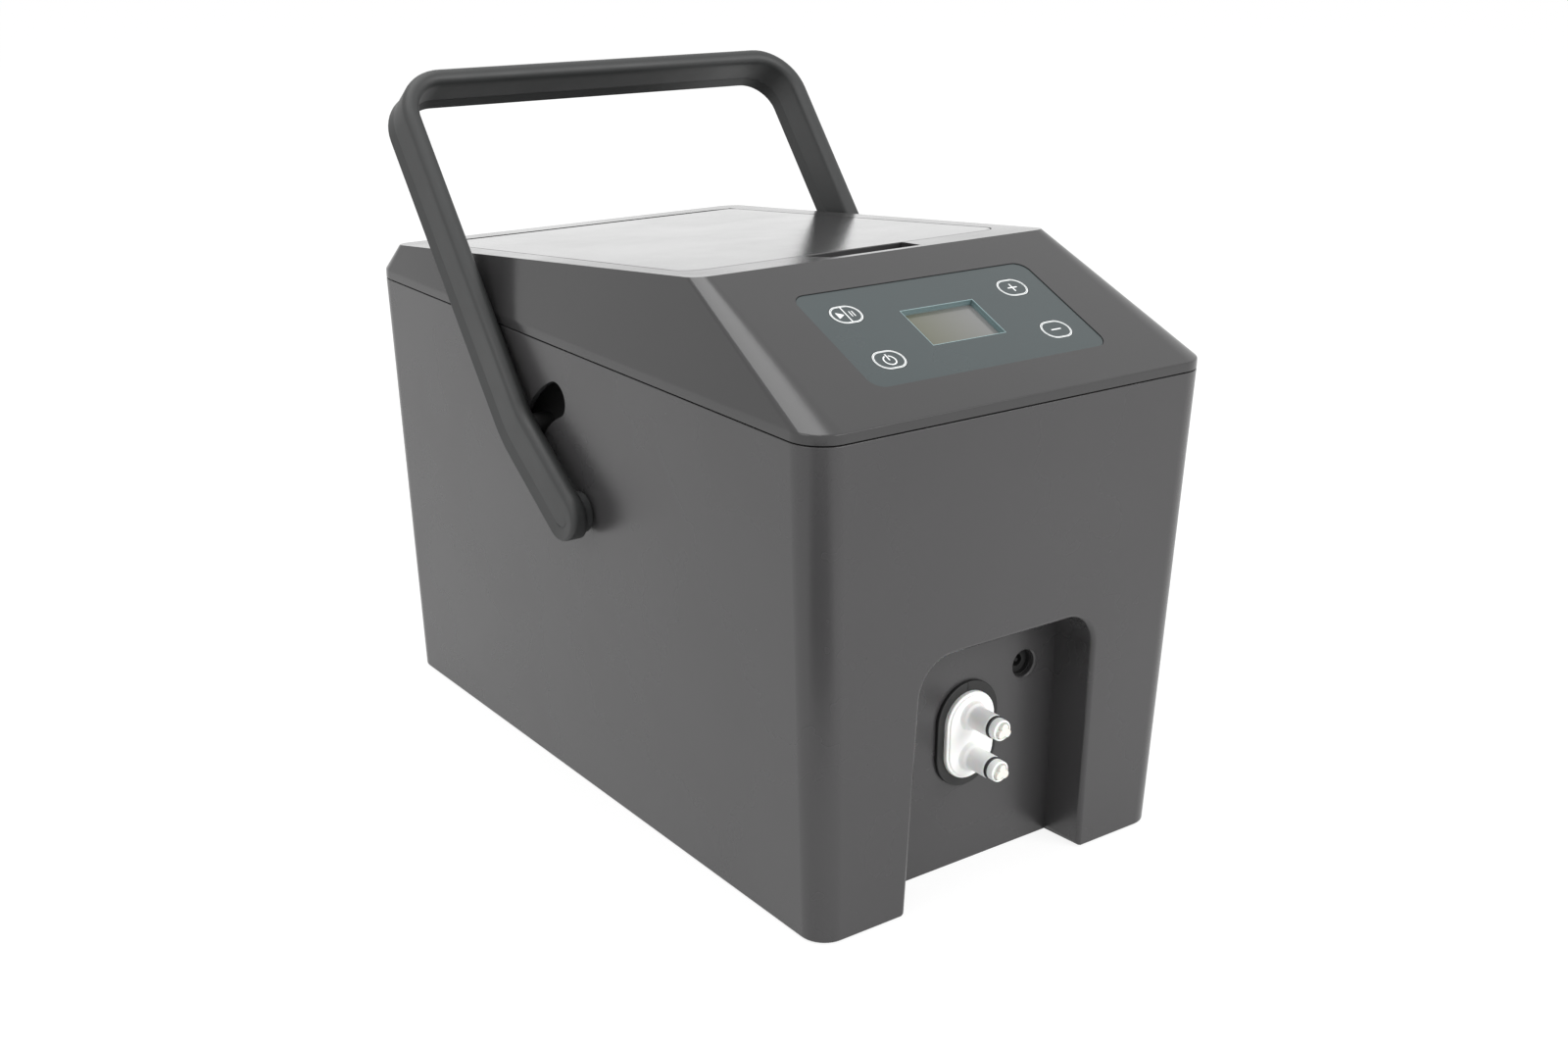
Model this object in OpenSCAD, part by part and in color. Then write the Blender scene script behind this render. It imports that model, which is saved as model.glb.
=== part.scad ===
// Hot and cold therapy machine: a drafted tub with a wedge-shaped cover, an ice and water tank under
// an access door, a twin hose coupling in a niche, a circulating pump and a bail handle.
// Origin: on the floor under the middle of the housing. +Z is up, the console and niche face -Y.

/* [Housing] */
// Width of the housing at the parting line
body_w = 240; // [236:1:246]
// Length of the housing at the parting line
body_l = 412; // [406:1:418]
// Height of the housing from its foot rim to the parting line
tub_h = 238.6; // [236:0.2:242]
// Plan radius of the vertical corners at the parting line
corner_r = 16.8; // [14:0.2:18]
// Plan radius of the vertical corners at the foot rim
foot_corner_r = 13; // [12:0.2:14]
// How far each side draws in down to the foot rim
side_draft = 10.9; // [9:0.1:12]
// How far the front draws in down to the foot rim
front_draft = 3.7; // [3:0.1:5]
// How far the back draws in down to the foot rim
back_draft = 5.2; // [4:0.1:6]
// Wall of the housing and the cover
wall = 3; // [2.6:0.1:3.4]
// How far the rubber feet stand below the foot rim
foot_proud = 1.5; // [1:0.25:2]

/* [Cover] */
// Height of the cover's vertical lip
lip_h = 5.2; // [4:0.1:6]
// Open seam between the housing and the cover
parting_gap = 0.6; // [0.4:0.1:0.8]
// Height of the front ridge over the parting line
ridge_h = 52.1; // [48:0.1:56]
// Height of the back ridge over the parting line
back_ridge_h = 19.9; // [17:0.1:23]
// Distance of the front ridge behind the front of the housing
ridge_back = 103.6; // [98:0.2:108]
// Distance of the back ridge before the back of the housing
back_ridge_in = 16.4; // [13:0.2:20]
// Inward lean of the cover's sides for each millimetre of height
side_lean = 0.254; // [0.22:0.002:0.28]

/* [Access door] */
// Distance of the door's front edge behind the front ridge, along the top
door_from = 24; // [22:0.5:26]
// Length of the door along the top
door_l = 251; // [248:0.5:254]
// Half width of the door at its front edge
door_hw_front = 96.8; // [95:0.2:98]
// Half width of the door at its back edge
door_hw_back = 100.2; // [98:0.2:101]
// Corner radius of the door
door_r = 12; // [10:0.5:14]
// Thickness of the door's outer panel
door_t = 4.2; // [4:0.1:4.6]
// Fine gap round the door
door_gap = 0.6; // [0.5:0.05:0.8]

/* [Control panel] */
// Width of the facia
panel_w = 141; // [138:0.5:144]
// Height of the facia along the slope
panel_h = 68.2; // [66:0.2:70]
// Distance of the facia's lower edge up the slope
panel_from = 22.8; // [21:0.2:25]
// Corner radius of the facia
panel_r = 7; // [5:0.5:9]
// Thickness of the facia
panel_t = 2; // [1.6:0.1:2.4]
// Width of the display window
screen_w = 44.4; // [42:0.2:46]
// Height of the display window
screen_h = 26.8; // [25:0.2:28]
// Width of a key
key_w = 17; // [15:0.5:18]
// Height of a key
key_h = 12.8; // [11:0.2:13]
// Travel of a key
key_travel = 0.8; // [0.5:0.1:1]

/* [Connector niche] */
// Half width of the niche inside
niche_hw = 54.5; // [52:0.5:56]
// Height of the niche over the foot rim
niche_h = 127.5; // [124:0.5:130]
// Distance of the niche's back wall behind the housing's middle
niche_back_y = 178; // [176:0.5:180]
// Corner radius of the niche
niche_r = 18; // [15:0.5:20]
// How far the niche's mouth flares
niche_flare = 2.5; // [2:0.5:3]
// Sideways place of the coupling's middle
coupling_x = -2.8; // [-5:0.2:-1]
// Height of the coupling's middle over the floor
coupling_z = 70.7; // [69:0.1:73]
// Distance between the nipples
nipple_pitch = 21.5; // [20:0.5:22]
// Radius of a nipple
nipple_r = 5.8; // [5.6:0.05:6]
// Length of a nipple out of its plate
nipple_l = 21; // [20:0.5:21]

/* [Handle] */
// Half width over the outer faces of the arms
handle_hw = 131; // [130.6:0.1:132]
// Thickness of an arm, across the machine
arm_t = 9.2; // [8.8:0.1:9.4]
// Width of an arm, seen from the side
arm_w = 25.6; // [24.5:0.2:26.5]
// How far the rear rim of the section flares on each side
rim_flare = 1; // [0.6:0.1:1.2]
// Distance of the pivot in front of the machine's middle
pivot_y = -16; // [-18:0.5:-14]
// Height of the pivot over the floor
pivot_z = 160; // [158:0.5:162]
// Backward lean of the lower arm from upright
lower_lean = 54.9; // [53:0.1:57]
// Backward lean of the upper arm from upright
upper_lean = 38.7; // [37:0.1:40]
// Length of the lower arm, from the pivot to the bend
lower_l = 58.8; // [57:0.1:60]
// Length of the upper arm, from the bend to the top of the crossbar
upper_l = 203.7; // [198:0.5:206]
// Inner radius of the handle's corners
grip_r = 19; // [16:0.5:22]
// Radius from the pivot of the peg that runs in the arc slot
peg_orbit = 57.2; // [56:0.1:58]
// Radius of that peg
peg_r = 6.4; // [6:0.1:7]
// Width of the arc slot
slot_w = 18.3; // [18:0.1:19]

/* [Tank and pump] */
// Half width inside the tank's mouth
tank_hw = 86; // [82:0.5:87]
// Height of the tank's floor over the machine's floor
tank_floor = 42; // [38:0.5:46]
// Distance of the pump's shaft from the middle plane
pump_x = 45; // [42:0.5:50]
// Height of the pump's shaft over the floor
pump_z = 52; // [50:0.5:56]

/* [Hidden] */
$fn = 64;

// Finishes
charcoal = [0.2, 0.2, 0.2];
satin_black = [0.12, 0.13, 0.13];
facia_grey = [0.25, 0.29, 0.29];
valve_white = [0.93, 0.93, 0.9];
rubber_black = [0.06, 0.06, 0.06];
liner_grey = [0.75, 0.77, 0.78];
foam_grey = [0.16, 0.16, 0.17];
steel = [0.7, 0.7, 0.72];
board_green = [0.1, 0.35, 0.2];

// Heights and plan places that follow from the driving sizes
rim_z = foot_proud;
parting_z = rim_z + tub_h;
lip_z = parting_z + lip_h;
ridge_z = parting_z + ridge_h;
back_ridge_z = parting_z + back_ridge_h;
front_y = -body_l / 2;
back_y = body_l / 2;
ridge_y = front_y + ridge_back;
back_ridge_y = back_y - back_ridge_in;
top_tilt = atan2(ridge_z - back_ridge_z, back_ridge_y - ridge_y);
slope_angle = atan2(ridge_z - lip_z, ridge_back);
sliver = 0.01;
clear = 0.3;

// Half width, front, back and corner radius of the tub at a height
function up(z) = (z - rim_z) / tub_h;
function tub_hw(z) = body_w / 2 - side_draft * (1 - up(z));
function tub_front(z) = front_y + front_draft * (1 - up(z));
function tub_back(z) = back_y - back_draft * (1 - up(z));
function tub_r(z) = foot_corner_r + (corner_r - foot_corner_r) * up(z);

// ---------- shared forms ----------

// One thin rounded slice of the tub
module tub_slice(z, inset, h = sliver) {
    r = tub_r(z) - inset;
    for (sx = [-1, 1], y = [tub_front(z) + inset + r, tub_back(z) - inset - r])
        translate([sx * (tub_hw(z) - inset - r), y, z])
            cylinder(r = r, h = h);
}

// Outer form of the tub with its rounded foot rim
module tub_form() {
    hull() {
        tub_slice(rim_z, 2.2);
        tub_slice(rim_z + 0.8, 0.9);
        tub_slice(rim_z + 3, 0);
        tub_slice(parting_z - sliver, 0);
    }
}

// Rounded rectangle between two corners, flat
module rounded(x0, y0, x1, y1, r) {
    translate([x0 + r, y0])
        square([x1 - x0 - 2 * r, y1 - y0]);
    translate([x0, y0 + r])
        square([x1 - x0, y1 - y0 - 2 * r]);
    for (x = [x0 + r, x1 - r], y = [y0 + r, y1 - r])
        translate([x, y])
            circle(r = r);
}

// Rounded plan shape that follows the tub's outline at a height
module tub_plan(z, inset) {
    hw = tub_hw(z) - inset;
    rounded(-hw, tub_front(z) + inset, hw, tub_back(z) - inset, max(tub_r(z) - inset, 1));
}

// Rounded bar with round ends, flat
module stadium(w, h) {
    r = min(w, h) / 2;
    rounded(-w / 2, -h / 2, w / 2, h / 2, r - sliver);
}

// Frames of the cover's top and of its console slope: x across, y up the face, z out of it
module on_top() {
    translate([0, ridge_y, ridge_z])
        rotate([-top_tilt, 0, 0])
            children();
}

module on_slope() {
    translate([0, front_y, lip_z])
        rotate([slope_angle, 0, 0])
            children();
}

// Both sides of the machine
module both_sides() {
    children();
    mirror([1, 0, 0])
        children();
}

// A tube along +Y
module tube_y(y0, y1, r, bore) {
    translate([0, y0, 0])
        rotate([-90, 0, 0])
            difference() {
                cylinder(r = r, h = y1 - y0);
                translate([0, 0, -1])
                    cylinder(r = bore, h = y1 - y0 + 2);
            }
}

module rod_y(y0, y1, r, r2 = 0) {
    translate([0, y0, 0])
        rotate([-90, 0, 0])
            cylinder(r1 = r, r2 = r2 > 0 ? r2 : r, h = y1 - y0);
}

module rod_x(x0, x1, r) {
    translate([x0, 0, 0])
        rotate([0, 90, 0])
            cylinder(r = r, h = x1 - x0);
}

// ---------- housing ----------

base_t = 3;
base_z = rim_z + 0.6;
ledge_z = base_z + base_t + 0.1;
ledge_top = ledge_z + 9;
ledge_w = 12.5;
rim_w = 4.6;
niche_top = rim_z + niche_h;
jack_x = 34.3;
jack_z = 97.4;
jack_r = 7;
gasket_w = 38;
gasket_l = 55;
screw_r = 1.6;
base_screw_x = 100.2;
base_screw_ys = [-185, -60, 70, 188];
cover_screw_x = 109.5;
cover_screw_ys = [-150, 85, 180];
tab_z = parting_z - 12;
tab_t = 4;

// Outline of the niche in the XZ plane, open at the foot; grow widens it
module niche_outline(grow) {
    hw = niche_hw + grow;
    r = niche_r + grow;
    rounded(-hw, -60, hw, niche_top + grow, r);
}

module niche_prism(grow, y0, y1) {
    translate([0, y1, 0])
        rotate([90, 0, 0])
            linear_extrude(y1 - y0)
                niche_outline(grow);
}

// Mouth of the niche, wider at the front face
module niche_mouth() {
    flare_y = front_y + front_draft + niche_flare;
    hull() {
        niche_prism(0, flare_y, flare_y + sliver);
        niche_prism(niche_flare * 0.35, flare_y - niche_flare * 0.65, flare_y - niche_flare * 0.65 + sliver);
        niche_prism(niche_flare, flare_y - niche_flare, flare_y - niche_flare + sliver);
        niche_prism(niche_flare, front_y - 2, front_y - 1);
    }
}

// Arc slot that the peg runs in, from the front stop down to the back one
slot_front = 67;
slot_back = 15;

function around(r, a) = [r * cos(a), r * sin(a)];

module arc_slot() {
    h = slot_w / 2;
    steps = [0:26];
    span = slot_front - slot_back;
    outer = [for (i = steps) around(peg_orbit + h, slot_back + span * i / 26)];
    front_cap = [for (a = [15:15:165]) around(peg_orbit, slot_front) + around(h, slot_front + a)];
    inner = [for (i = steps) around(peg_orbit - h, slot_front - span * i / 26)];
    back_cap = [for (a = [15:15:165]) around(peg_orbit, slot_back) + around(h, slot_back + 180 + a)];
    translate([95, pivot_y, pivot_z])
        rotate([90, 0, 90])
            linear_extrude(40)
                polygon(concat(outer, front_cap, inner, back_cap));
}

pivot_bore = 5.05;
bush_r = 8;
bush_in = 103.5;
bush_out = 117.6;

module outer_housing() color(charcoal) {
    difference() {
        union() {
            difference() {
                tub_form();
                hull() {
                    tub_slice(ledge_top, wall);
                    tub_slice(parting_z + 1, wall);
                }
                translate([0, 0, rim_z - 1])
                    linear_extrude(ledge_top + 2 - rim_z)
                        tub_plan(rim_z, ledge_w);
                translate([0, 0, rim_z - 1])
                    linear_extrude(ledge_z - rim_z + 1)
                        tub_plan(rim_z, rim_w);
            }
            intersection() {
                tub_form();
                union() {
                    niche_prism(wall, front_y, wall - niche_back_y);
                    translate([jack_x, 0, jack_z])
                        rod_y(1 - niche_back_y, wall + 8 - niche_back_y, 12.6);
                    both_sides()
                        translate([0, pivot_y, pivot_z])
                            rod_x(bush_in, body_w / 2, bush_r + 3.5);
                    for (sx = [-1, 1], y = cover_screw_ys)
                        translate([sx * (body_w / 2 - 9), y, tab_z - tab_t / 2])
                            cube([19, 14, tab_t], center = true);
                }
            }
        }
        niche_prism(0, front_y - 1, -niche_back_y);
        niche_mouth();
        both_sides() {
            arc_slot();
            translate([0, pivot_y, pivot_z])
                rod_x(bush_in - 1, body_w / 2 + 1, bush_r);
        }
        translate([jack_x, -niche_back_y, jack_z]) {
            rod_y(-1, wall + 1, jack_r);
            rod_y(wall, wall + 9, 10.2);
        }
        translate([coupling_x, wall + 1 - niche_back_y, coupling_z])
            rotate([90, 0, 0])
                linear_extrude(wall + 2)
                    stadium(gasket_w - 8, gasket_l - 8);
        for (sx = [-1, 1], y = cover_screw_ys)
            translate([sx * cover_screw_x, y, tab_z - tab_t - 1])
                cylinder(r = screw_r + 0.3, h = tab_t + 2);
        for (sx = [-1, 1], y = base_screw_ys)
            translate([sx * base_screw_x, y, rim_z])
                cylinder(r = screw_r, h = ledge_top - rim_z - 2);
    }
}

foot_x = 84;
foot_ys = [-150, 160];
foot_r = 9;

module base_plate() color(satin_black) {
    difference() {
        translate([0, 0, base_z])
            linear_extrude(base_t)
                difference() {
                    tub_plan(rim_z, rim_w + clear);
                    translate([-niche_hw - wall - clear, front_y])
                        square([2 * (niche_hw + wall + clear), wall + clear - niche_back_y - front_y]);
                }
        for (sx = [-1, 1], y = base_screw_ys)
            translate([sx * base_screw_x, y, base_z - 1])
                cylinder(r = screw_r + 0.3, h = base_t + 2);
        for (sx = [-1, 1], y = foot_ys)
            translate([sx * foot_x, y, base_z - 1])
                cylinder(r = foot_r + 0.05, h = 2);
        // Vent slots under the pump
        for (i = [-3:2])
            translate([pump_x + 8 * i - 2, -150, base_z - 1])
                cube([4, 36, base_t + 2]);
    }
}

module base_screws() color(steel) {
    for (sx = [-1, 1], y = base_screw_ys)
        translate([sx * base_screw_x, y, 0]) {
            translate([0, 0, base_z - 1.9])
                cylinder(r1 = 2.4, r2 = 2.8, h = 1.8);
            translate([0, 0, base_z - 0.2])
                cylinder(r = screw_r - 0.05, h = 9);
        }
}

module feet() color(rubber_black) {
    for (sx = [-1, 1], y = foot_ys)
        translate([sx * foot_x, y, 0]) {
            cylinder(r1 = foot_r - 1, r2 = foot_r, h = 1);
            translate([0, 0, 1 - sliver])
                cylinder(r = foot_r, h = base_z);
        }
}

// ---------- tank ----------

tank_t = 2.5;
tank_y0 = -66;
tank_y1 = 152;
tank_draw = 6;
tank_r = 18;
flange_z = parting_z - 7;
flange_t = 3;
flange_w = 11;
gasket_z = flange_z + flange_t;
port_y = -89;
port_r = 6;
port_bore = 4;
return_z = coupling_z + nipple_pitch / 2;
supply_z = coupling_z - nipple_pitch / 2;

// Drafted bucket; grow adds to every side
module bucket(grow, z0, z1) {
    hull()
        for (end = [[z0, tank_draw], [z1 - sliver, 0]])
            let (hw = tank_hw + grow - end[1], y0 = tank_y0 - grow + end[1], y1 = tank_y1 + grow - end[1])
                for (x = [-hw + tank_r, hw - tank_r], y = [y0 + tank_r, y1 - tank_r])
                    translate([x, y, end[0]])
                        cylinder(r = tank_r, h = sliver);
}

module tank_plan(grow) {
    rounded(-tank_hw - grow, tank_y0 - grow, tank_hw + grow, tank_y1 + grow, tank_r);
}

module tank_liner() color(liner_grey) {
    difference() {
        union() {
            bucket(tank_t, tank_floor - tank_t, flange_z + flange_t);
            translate([0, 0, flange_z])
                linear_extrude(flange_t)
                    tank_plan(flange_w);
            translate([coupling_x, 0, return_z])
                rod_y(port_y, tank_y0 + 8, port_r);
            translate([pump_x, 0, pump_z])
                rod_y(port_y, tank_y0 + 8, port_r);
        }
        bucket(0, tank_floor, flange_z + flange_t + 1);
        for (port = [[coupling_x, return_z], [pump_x, pump_z]])
            translate([port[0], 0, port[1]])
                rod_y(port_y - 1, tank_y0 + 12, port_bore);
    }
}

module tank_gasket() color(rubber_black) {
    translate([0, 0, gasket_z])
        linear_extrude(parting_z - gasket_z)
            difference() {
                tank_plan(8);
                tank_plan(2.2);
            }
}

// Slotted cage on a spigot in the suction port
module tank_strainer() color(liner_grey) {
    translate([pump_x, tank_y0 + tank_draw + 0.1, pump_z])
        rotate([-90, 0, 0])
            difference() {
                union() {
                    cylinder(r = 9.2, h = 9);
                    translate([0, 0, -9])
                        cylinder(r = port_bore - 0.05, h = 10);
                }
                translate([0, 0, -10])
                    cylinder(r = port_bore - 1, h = 12);
                translate([0, 0, 1.5])
                    cylinder(r = 7.4, h = 6);
                for (x = [-4.5, 0, 4.5])
                    translate([x - 0.8, -4, 7])
                        cube([1.6, 8, 3]);
                for (x = [-4, 0, 4])
                    translate([x - 0.8, -12, 2.5])
                        cube([1.6, 24, 3.5]);
            }
}

foam_base = ledge_top + 0.2;
foam_top = flange_z - 0.2;
foam_hw = 98.6;

module insulation() color(foam_grey) {
    difference() {
        translate([0, 0, foam_base])
            linear_extrude(foam_top - foam_base)
                rounded(-foam_hw, tank_y0 - 14, foam_hw, tank_y1 + 14, 22);
        bucket(tank_t + 0.2, tank_floor - tank_t - 0.2, foam_top + 1);
        for (port = [[coupling_x, return_z], [pump_x, pump_z]])
            translate([port[0], 0, port[1]])
                rod_y(port_y - 1, tank_y0 + 12, port_r + 0.3);
    }
    // Blocks that carry the jacket on the base plate
    for (x = [-70, 0, 70], y = [-30, 120])
        translate([x - 12, y - 20, base_z + base_t])
            cube([24, 40, foam_base + 1 - base_z - base_t]);
}

// ---------- cover ----------

hinge_s = door_from + door_l - 4.6;
hinge_depth = 4.6;
barrel_r = 4.6;
hinge_pin_r = 2;
hinge_end = 94;
skirt_t = 3;
ledge_depth = 7.2;
scoop_hw = 30;
scoop_from = 5;
scoop_depth = 8;

// Half width of the cover at a height
function cover_hw(z) = body_w / 2 - side_lean * max(z - lip_z, 0);

// Convex form of the cover; inset draws every face in
module cover_form(inset, bottom) {
    r = corner_r - inset;
    ridge_r = 9 - inset * 0.5;
    back_r = 11 - inset * 0.5;
    hull() {
        for (sx = [-1, 1], y = [front_y + inset + r, back_y - inset - r])
            translate([sx * (body_w / 2 - inset - r), y, bottom])
                cylinder(r = r, h = lip_z - inset * 0.4 - bottom);
        for (sx = [-1, 1]) {
            translate([sx * (cover_hw(ridge_z) - inset - ridge_r), ridge_y + inset * 0.4 + ridge_r, ridge_z - inset])
                rotate([-top_tilt, 0, 0])
                    translate([0, 0, -sin(top_tilt) * ridge_r])
                        cylinder(r = ridge_r, h = sliver);
            translate([sx * (cover_hw(back_ridge_z) - inset - back_r), back_ridge_y - inset * 0.6 - back_r, back_ridge_z - inset])
                rotate([-top_tilt, 0, 0])
                    translate([0, 0, sin(top_tilt) * back_r])
                        cylinder(r = back_r, h = sliver);
        }
    }
}

// Outline of the door on the top face; grow widens it
module door_outline(grow, back_grow = 0) {
    r = door_r + grow;
    hull() {
        for (sx = [-1, 1]) {
            translate([sx * (door_hw_front + grow - r), door_from - grow + r])
                circle(r = r);
            translate([sx * (door_hw_back + grow - r), door_from + door_l + grow + back_grow - r])
                circle(r = r);
        }
    }
}

// Outline of the mouth under the door, in plan
mouth_hw = 88;
mouth_y0 = ridge_y + (door_from + 9) * cos(top_tilt);
mouth_y1 = ridge_y + (hinge_s - 12) * cos(top_tilt);

module mouth_plan(grow) {
    rounded(-mouth_hw - grow, mouth_y0 - grow, mouth_hw + grow, mouth_y1 + grow, 10 + grow);
}

// Window and four key positions on the facia, from its lower left corner's frame
screen_mid = panel_from + panel_h / 2;
key_x = 50.6;
key_low = panel_from + 16.8;
key_high = panel_from + 51;
key_places = [[-key_x, key_high], [-key_x, key_low], [key_x, key_high], [key_x, key_low]];
panel_seat = panel_t + 0.2;

module panel_outline(grow) {
    rounded(-panel_w / 2 - grow, panel_from - grow, panel_w / 2 + grow, panel_from + panel_h + grow, panel_r + grow);
}

module scoop() {
    on_top()
        hull() {
            translate([-scoop_hw, door_from + 1, -scoop_depth])
                cube([2 * scoop_hw, 0.1, scoop_depth + 1]);
            translate([-scoop_hw + 2.5, scoop_from, -0.3])
                cube([2 * scoop_hw - 5, 0.1, 1.3]);
        }
}

module cover() color(charcoal) {
    difference() {
        union() {
            difference() {
                cover_form(0, parting_z + parting_gap);
                cover_form(wall, parting_z - 1);
            }
            // Skirt of the mouth, door ledge, hinge bosses, screw posts
            intersection() {
                cover_form(0, parting_z);
                union() {
                    translate([0, 0, parting_z])
                        linear_extrude(ridge_h)
                            mouth_plan(skirt_t);
                    on_top()
                        translate([0, 0, -ledge_depth - 5])
                            linear_extrude(ledge_depth + 5)
                                rounded(-door_hw_back - 4, 3, door_hw_back + 4, door_from + door_l + 4, 12);
                    on_slope()
                        translate([-panel_w / 2 - 5, panel_from - 5, -5.4])
                            cube([panel_w + 10, panel_h + 10, 5.4]);
                    both_sides()
                        on_top()
                            translate([0, hinge_s, -hinge_depth])
                                rod_x(door_hw_back + 0.7, 110, 4.4);
                    for (sx = [-1, 1], y = cover_screw_ys)
                        translate([sx * cover_screw_x, y, tab_z + 0.2 + (parting_z - tab_z)])
                            cylinder(r = 4, h = 40);
                }
            }
            // Tongue that locates the cover in the tub, and the lower ends of the posts
            difference() {
                translate([0, 0, parting_z - 5])
                    linear_extrude(6.4 + lip_h)
                        tub_plan(parting_z, wall + 0.7);
                translate([0, 0, parting_z - 6])
                    linear_extrude(14 + lip_h)
                        tub_plan(parting_z, wall + 2.9);
            }
            for (sx = [-1, 1], y = cover_screw_ys)
                translate([sx * cover_screw_x, y, tab_z + 0.2])
                    cylinder(r = 4, h = parting_z - tab_z + 2);
        }
        translate([0, 0, parting_z - 1])
            linear_extrude(ridge_h + 2)
                mouth_plan(0);
        on_top()
            translate([0, 0, -ledge_depth])
                linear_extrude(ledge_depth + 1)
                    door_outline(door_gap);
        on_top()
            translate([0, hinge_s, -hinge_depth])
                rod_x(-door_hw_back - door_gap, door_hw_back + door_gap, barrel_r + 1);
        scoop();
        on_slope() {
            translate([0, 0, -panel_seat])
                linear_extrude(panel_seat + 1)
                    panel_outline(0.2);
            translate([-62, panel_from + 5, -14])
                cube([124, panel_h - 10, 14]);
        }
        both_sides()
            on_top()
                translate([0, hinge_s, -hinge_depth])
                    rod_x(door_hw_back, 108, hinge_pin_r);
        for (sx = [-1, 1], y = cover_screw_ys)
            translate([sx * cover_screw_x, y, tab_z - 1])
                cylinder(r = screw_r, h = 14);
    }
}

module cover_screws() color(steel) {
    for (sx = [-1, 1], y = cover_screw_ys)
        translate([sx * cover_screw_x, y, 0]) {
            translate([0, 0, tab_z - tab_t - 2.2])
                cylinder(r = 3, h = 2.1);
            translate([0, 0, tab_z - tab_t - 0.2])
                cylinder(r = screw_r - 0.05, h = 14);
        }
}

module hinge_pins() color(steel) {
    both_sides()
        on_top()
            translate([0, hinge_s, -hinge_depth])
                rod_x(hinge_end + 1, 108, hinge_pin_r);
}

// ---------- door ----------

liner_depth = 22;
liner_wall = 2.4;

// The door's plate ends in a round barrel along the hinge line
module access_door() color(charcoal) {
    on_top()
        difference() {
            union() {
                translate([0, 0, -door_t])
                    linear_extrude(door_t)
                        intersection() {
                            door_outline(0);
                            translate([-150, 0])
                                square([300, hinge_s]);
                        }
                intersection() {
                    translate([0, hinge_s, -hinge_depth])
                        rod_x(-door_hw_back, door_hw_back, barrel_r);
                    translate([0, 0, -20])
                        linear_extrude(30)
                            door_outline(0);
                }
                translate([-door_hw_back + 8, hinge_s - 6, -hinge_depth - 1.6])
                    cube([2 * door_hw_back - 16, 6, 4]);
            }
            both_sides()
                translate([0, hinge_s, -hinge_depth])
                    rod_x(hinge_end, door_hw_back + 1, hinge_pin_r + 0.05);
        }
}

module door_liner() color(liner_grey) {
    on_top()
        translate([0, 0, -door_t - liner_depth])
            difference() {
                linear_extrude(liner_depth)
                    rounded(-mouth_hw + 4, door_from + 14, mouth_hw - 4, hinge_s - 15, 12);
                translate([0, 0, liner_wall])
                    linear_extrude(liner_depth - 2 * liner_wall)
                        rounded(-mouth_hw + 6.4, door_from + 16.4, mouth_hw - 6.4, hinge_s - 17.4, 10);
            }
}

module door_seal() color(rubber_black) {
    on_top()
        translate([0, 0, -ledge_depth + 0.3])
            linear_extrude(ledge_depth - door_t - 0.3)
                difference() {
                    rounded(-mouth_hw - 5, door_from + 4, mouth_hw + 5, hinge_s - 6.4, 12);
                    rounded(-mouth_hw - 1.5, door_from + 8, mouth_hw + 1.5, hinge_s - 10, 9);
                }
}

// ---------- console ----------

board_z = -panel_t - 6.5;
board_posts = [[-36, -22], [-36, 22], [36, -22], [36, 22]];

// Facia with a window, four key holes and posts for the board
module control_panel() color(facia_grey) {
    on_slope()
        difference() {
            union() {
                translate([0, 0, -panel_t])
                    linear_extrude(panel_t)
                        panel_outline(0);
                for (p = board_posts)
                    translate([p[0], screen_mid + p[1], board_z])
                        cylinder(r = 3.2, h = -board_z - 0.5);
            }
            for (place = key_places)
                translate([place[0], place[1], -panel_t - 1])
                    linear_extrude(panel_t + 2)
                        stadium(key_w + 0.6, key_h + 0.6);
            translate([-screen_w / 2, screen_mid - screen_h / 2, -panel_t - 1])
                cube([screen_w, screen_h, panel_t + 2]);
            for (p = board_posts)
                translate([p[0], screen_mid + p[1], board_z - 1])
                    cylinder(r = screw_r, h = 6.5);
        }
}

module display_module() color(satin_black) {
    on_slope()
        translate([0, screen_mid, 0]) {
            translate([-screen_w / 2 - 5, -screen_h / 2 - 5, board_z + 0.05])
                cube([screen_w + 10, screen_h + 10, -board_z - panel_t - 0.1]);
            translate([-screen_w / 2 + 0.2, -screen_h / 2 + 0.2, -panel_t - 1])
                cube([screen_w - 0.4, screen_h - 0.4, panel_t + 0.8]);
        }
}

module control_board() color(board_green) {
    on_slope()
        translate([0, screen_mid, board_z])
            difference() {
                translate([-59, -27, -1.6])
                    cube([118, 54, 1.6]);
                for (p = board_posts)
                    translate([p[0], p[1], -2])
                        cylinder(r = screw_r + 0.2, h = 3);
            }
}

module board_screws() color(steel) {
    on_slope()
        translate([0, screen_mid, board_z])
            for (p = board_posts)
                translate([p[0], p[1], 0]) {
                    translate([0, 0, -3.6])
                        cylinder(r = 2.8, h = 1.9);
                    translate([0, 0, -1.8])
                        cylinder(r = screw_r - 0.02, h = 6.8);
                }
}

// Key cap with a collar under the facia and a stem towards the board
module key_cap(place) {
    on_slope()
        translate([place[0], place[1], 0]) {
            translate([0, 0, -panel_t - 0.6])
                linear_extrude(panel_t + 0.6)
                    stadium(key_w, key_h);
            translate([0, 0, -panel_t - 1.4])
                linear_extrude(1.3)
                    stadium(key_w + 3, key_h + 3);
            translate([0, 0, board_z + key_travel + 0.4])
                cylinder(r = 3, h = -board_z - key_travel - 0.4 - panel_t);
        }
}

module play_pause_key() color(facia_grey) key_cap(key_places[0]);
module power_key() color(facia_grey) key_cap(key_places[1]);
module plus_key() color(facia_grey) key_cap(key_places[2]);
module minus_key() color(facia_grey) key_cap(key_places[3]);

// ---------- handle ----------

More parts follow.
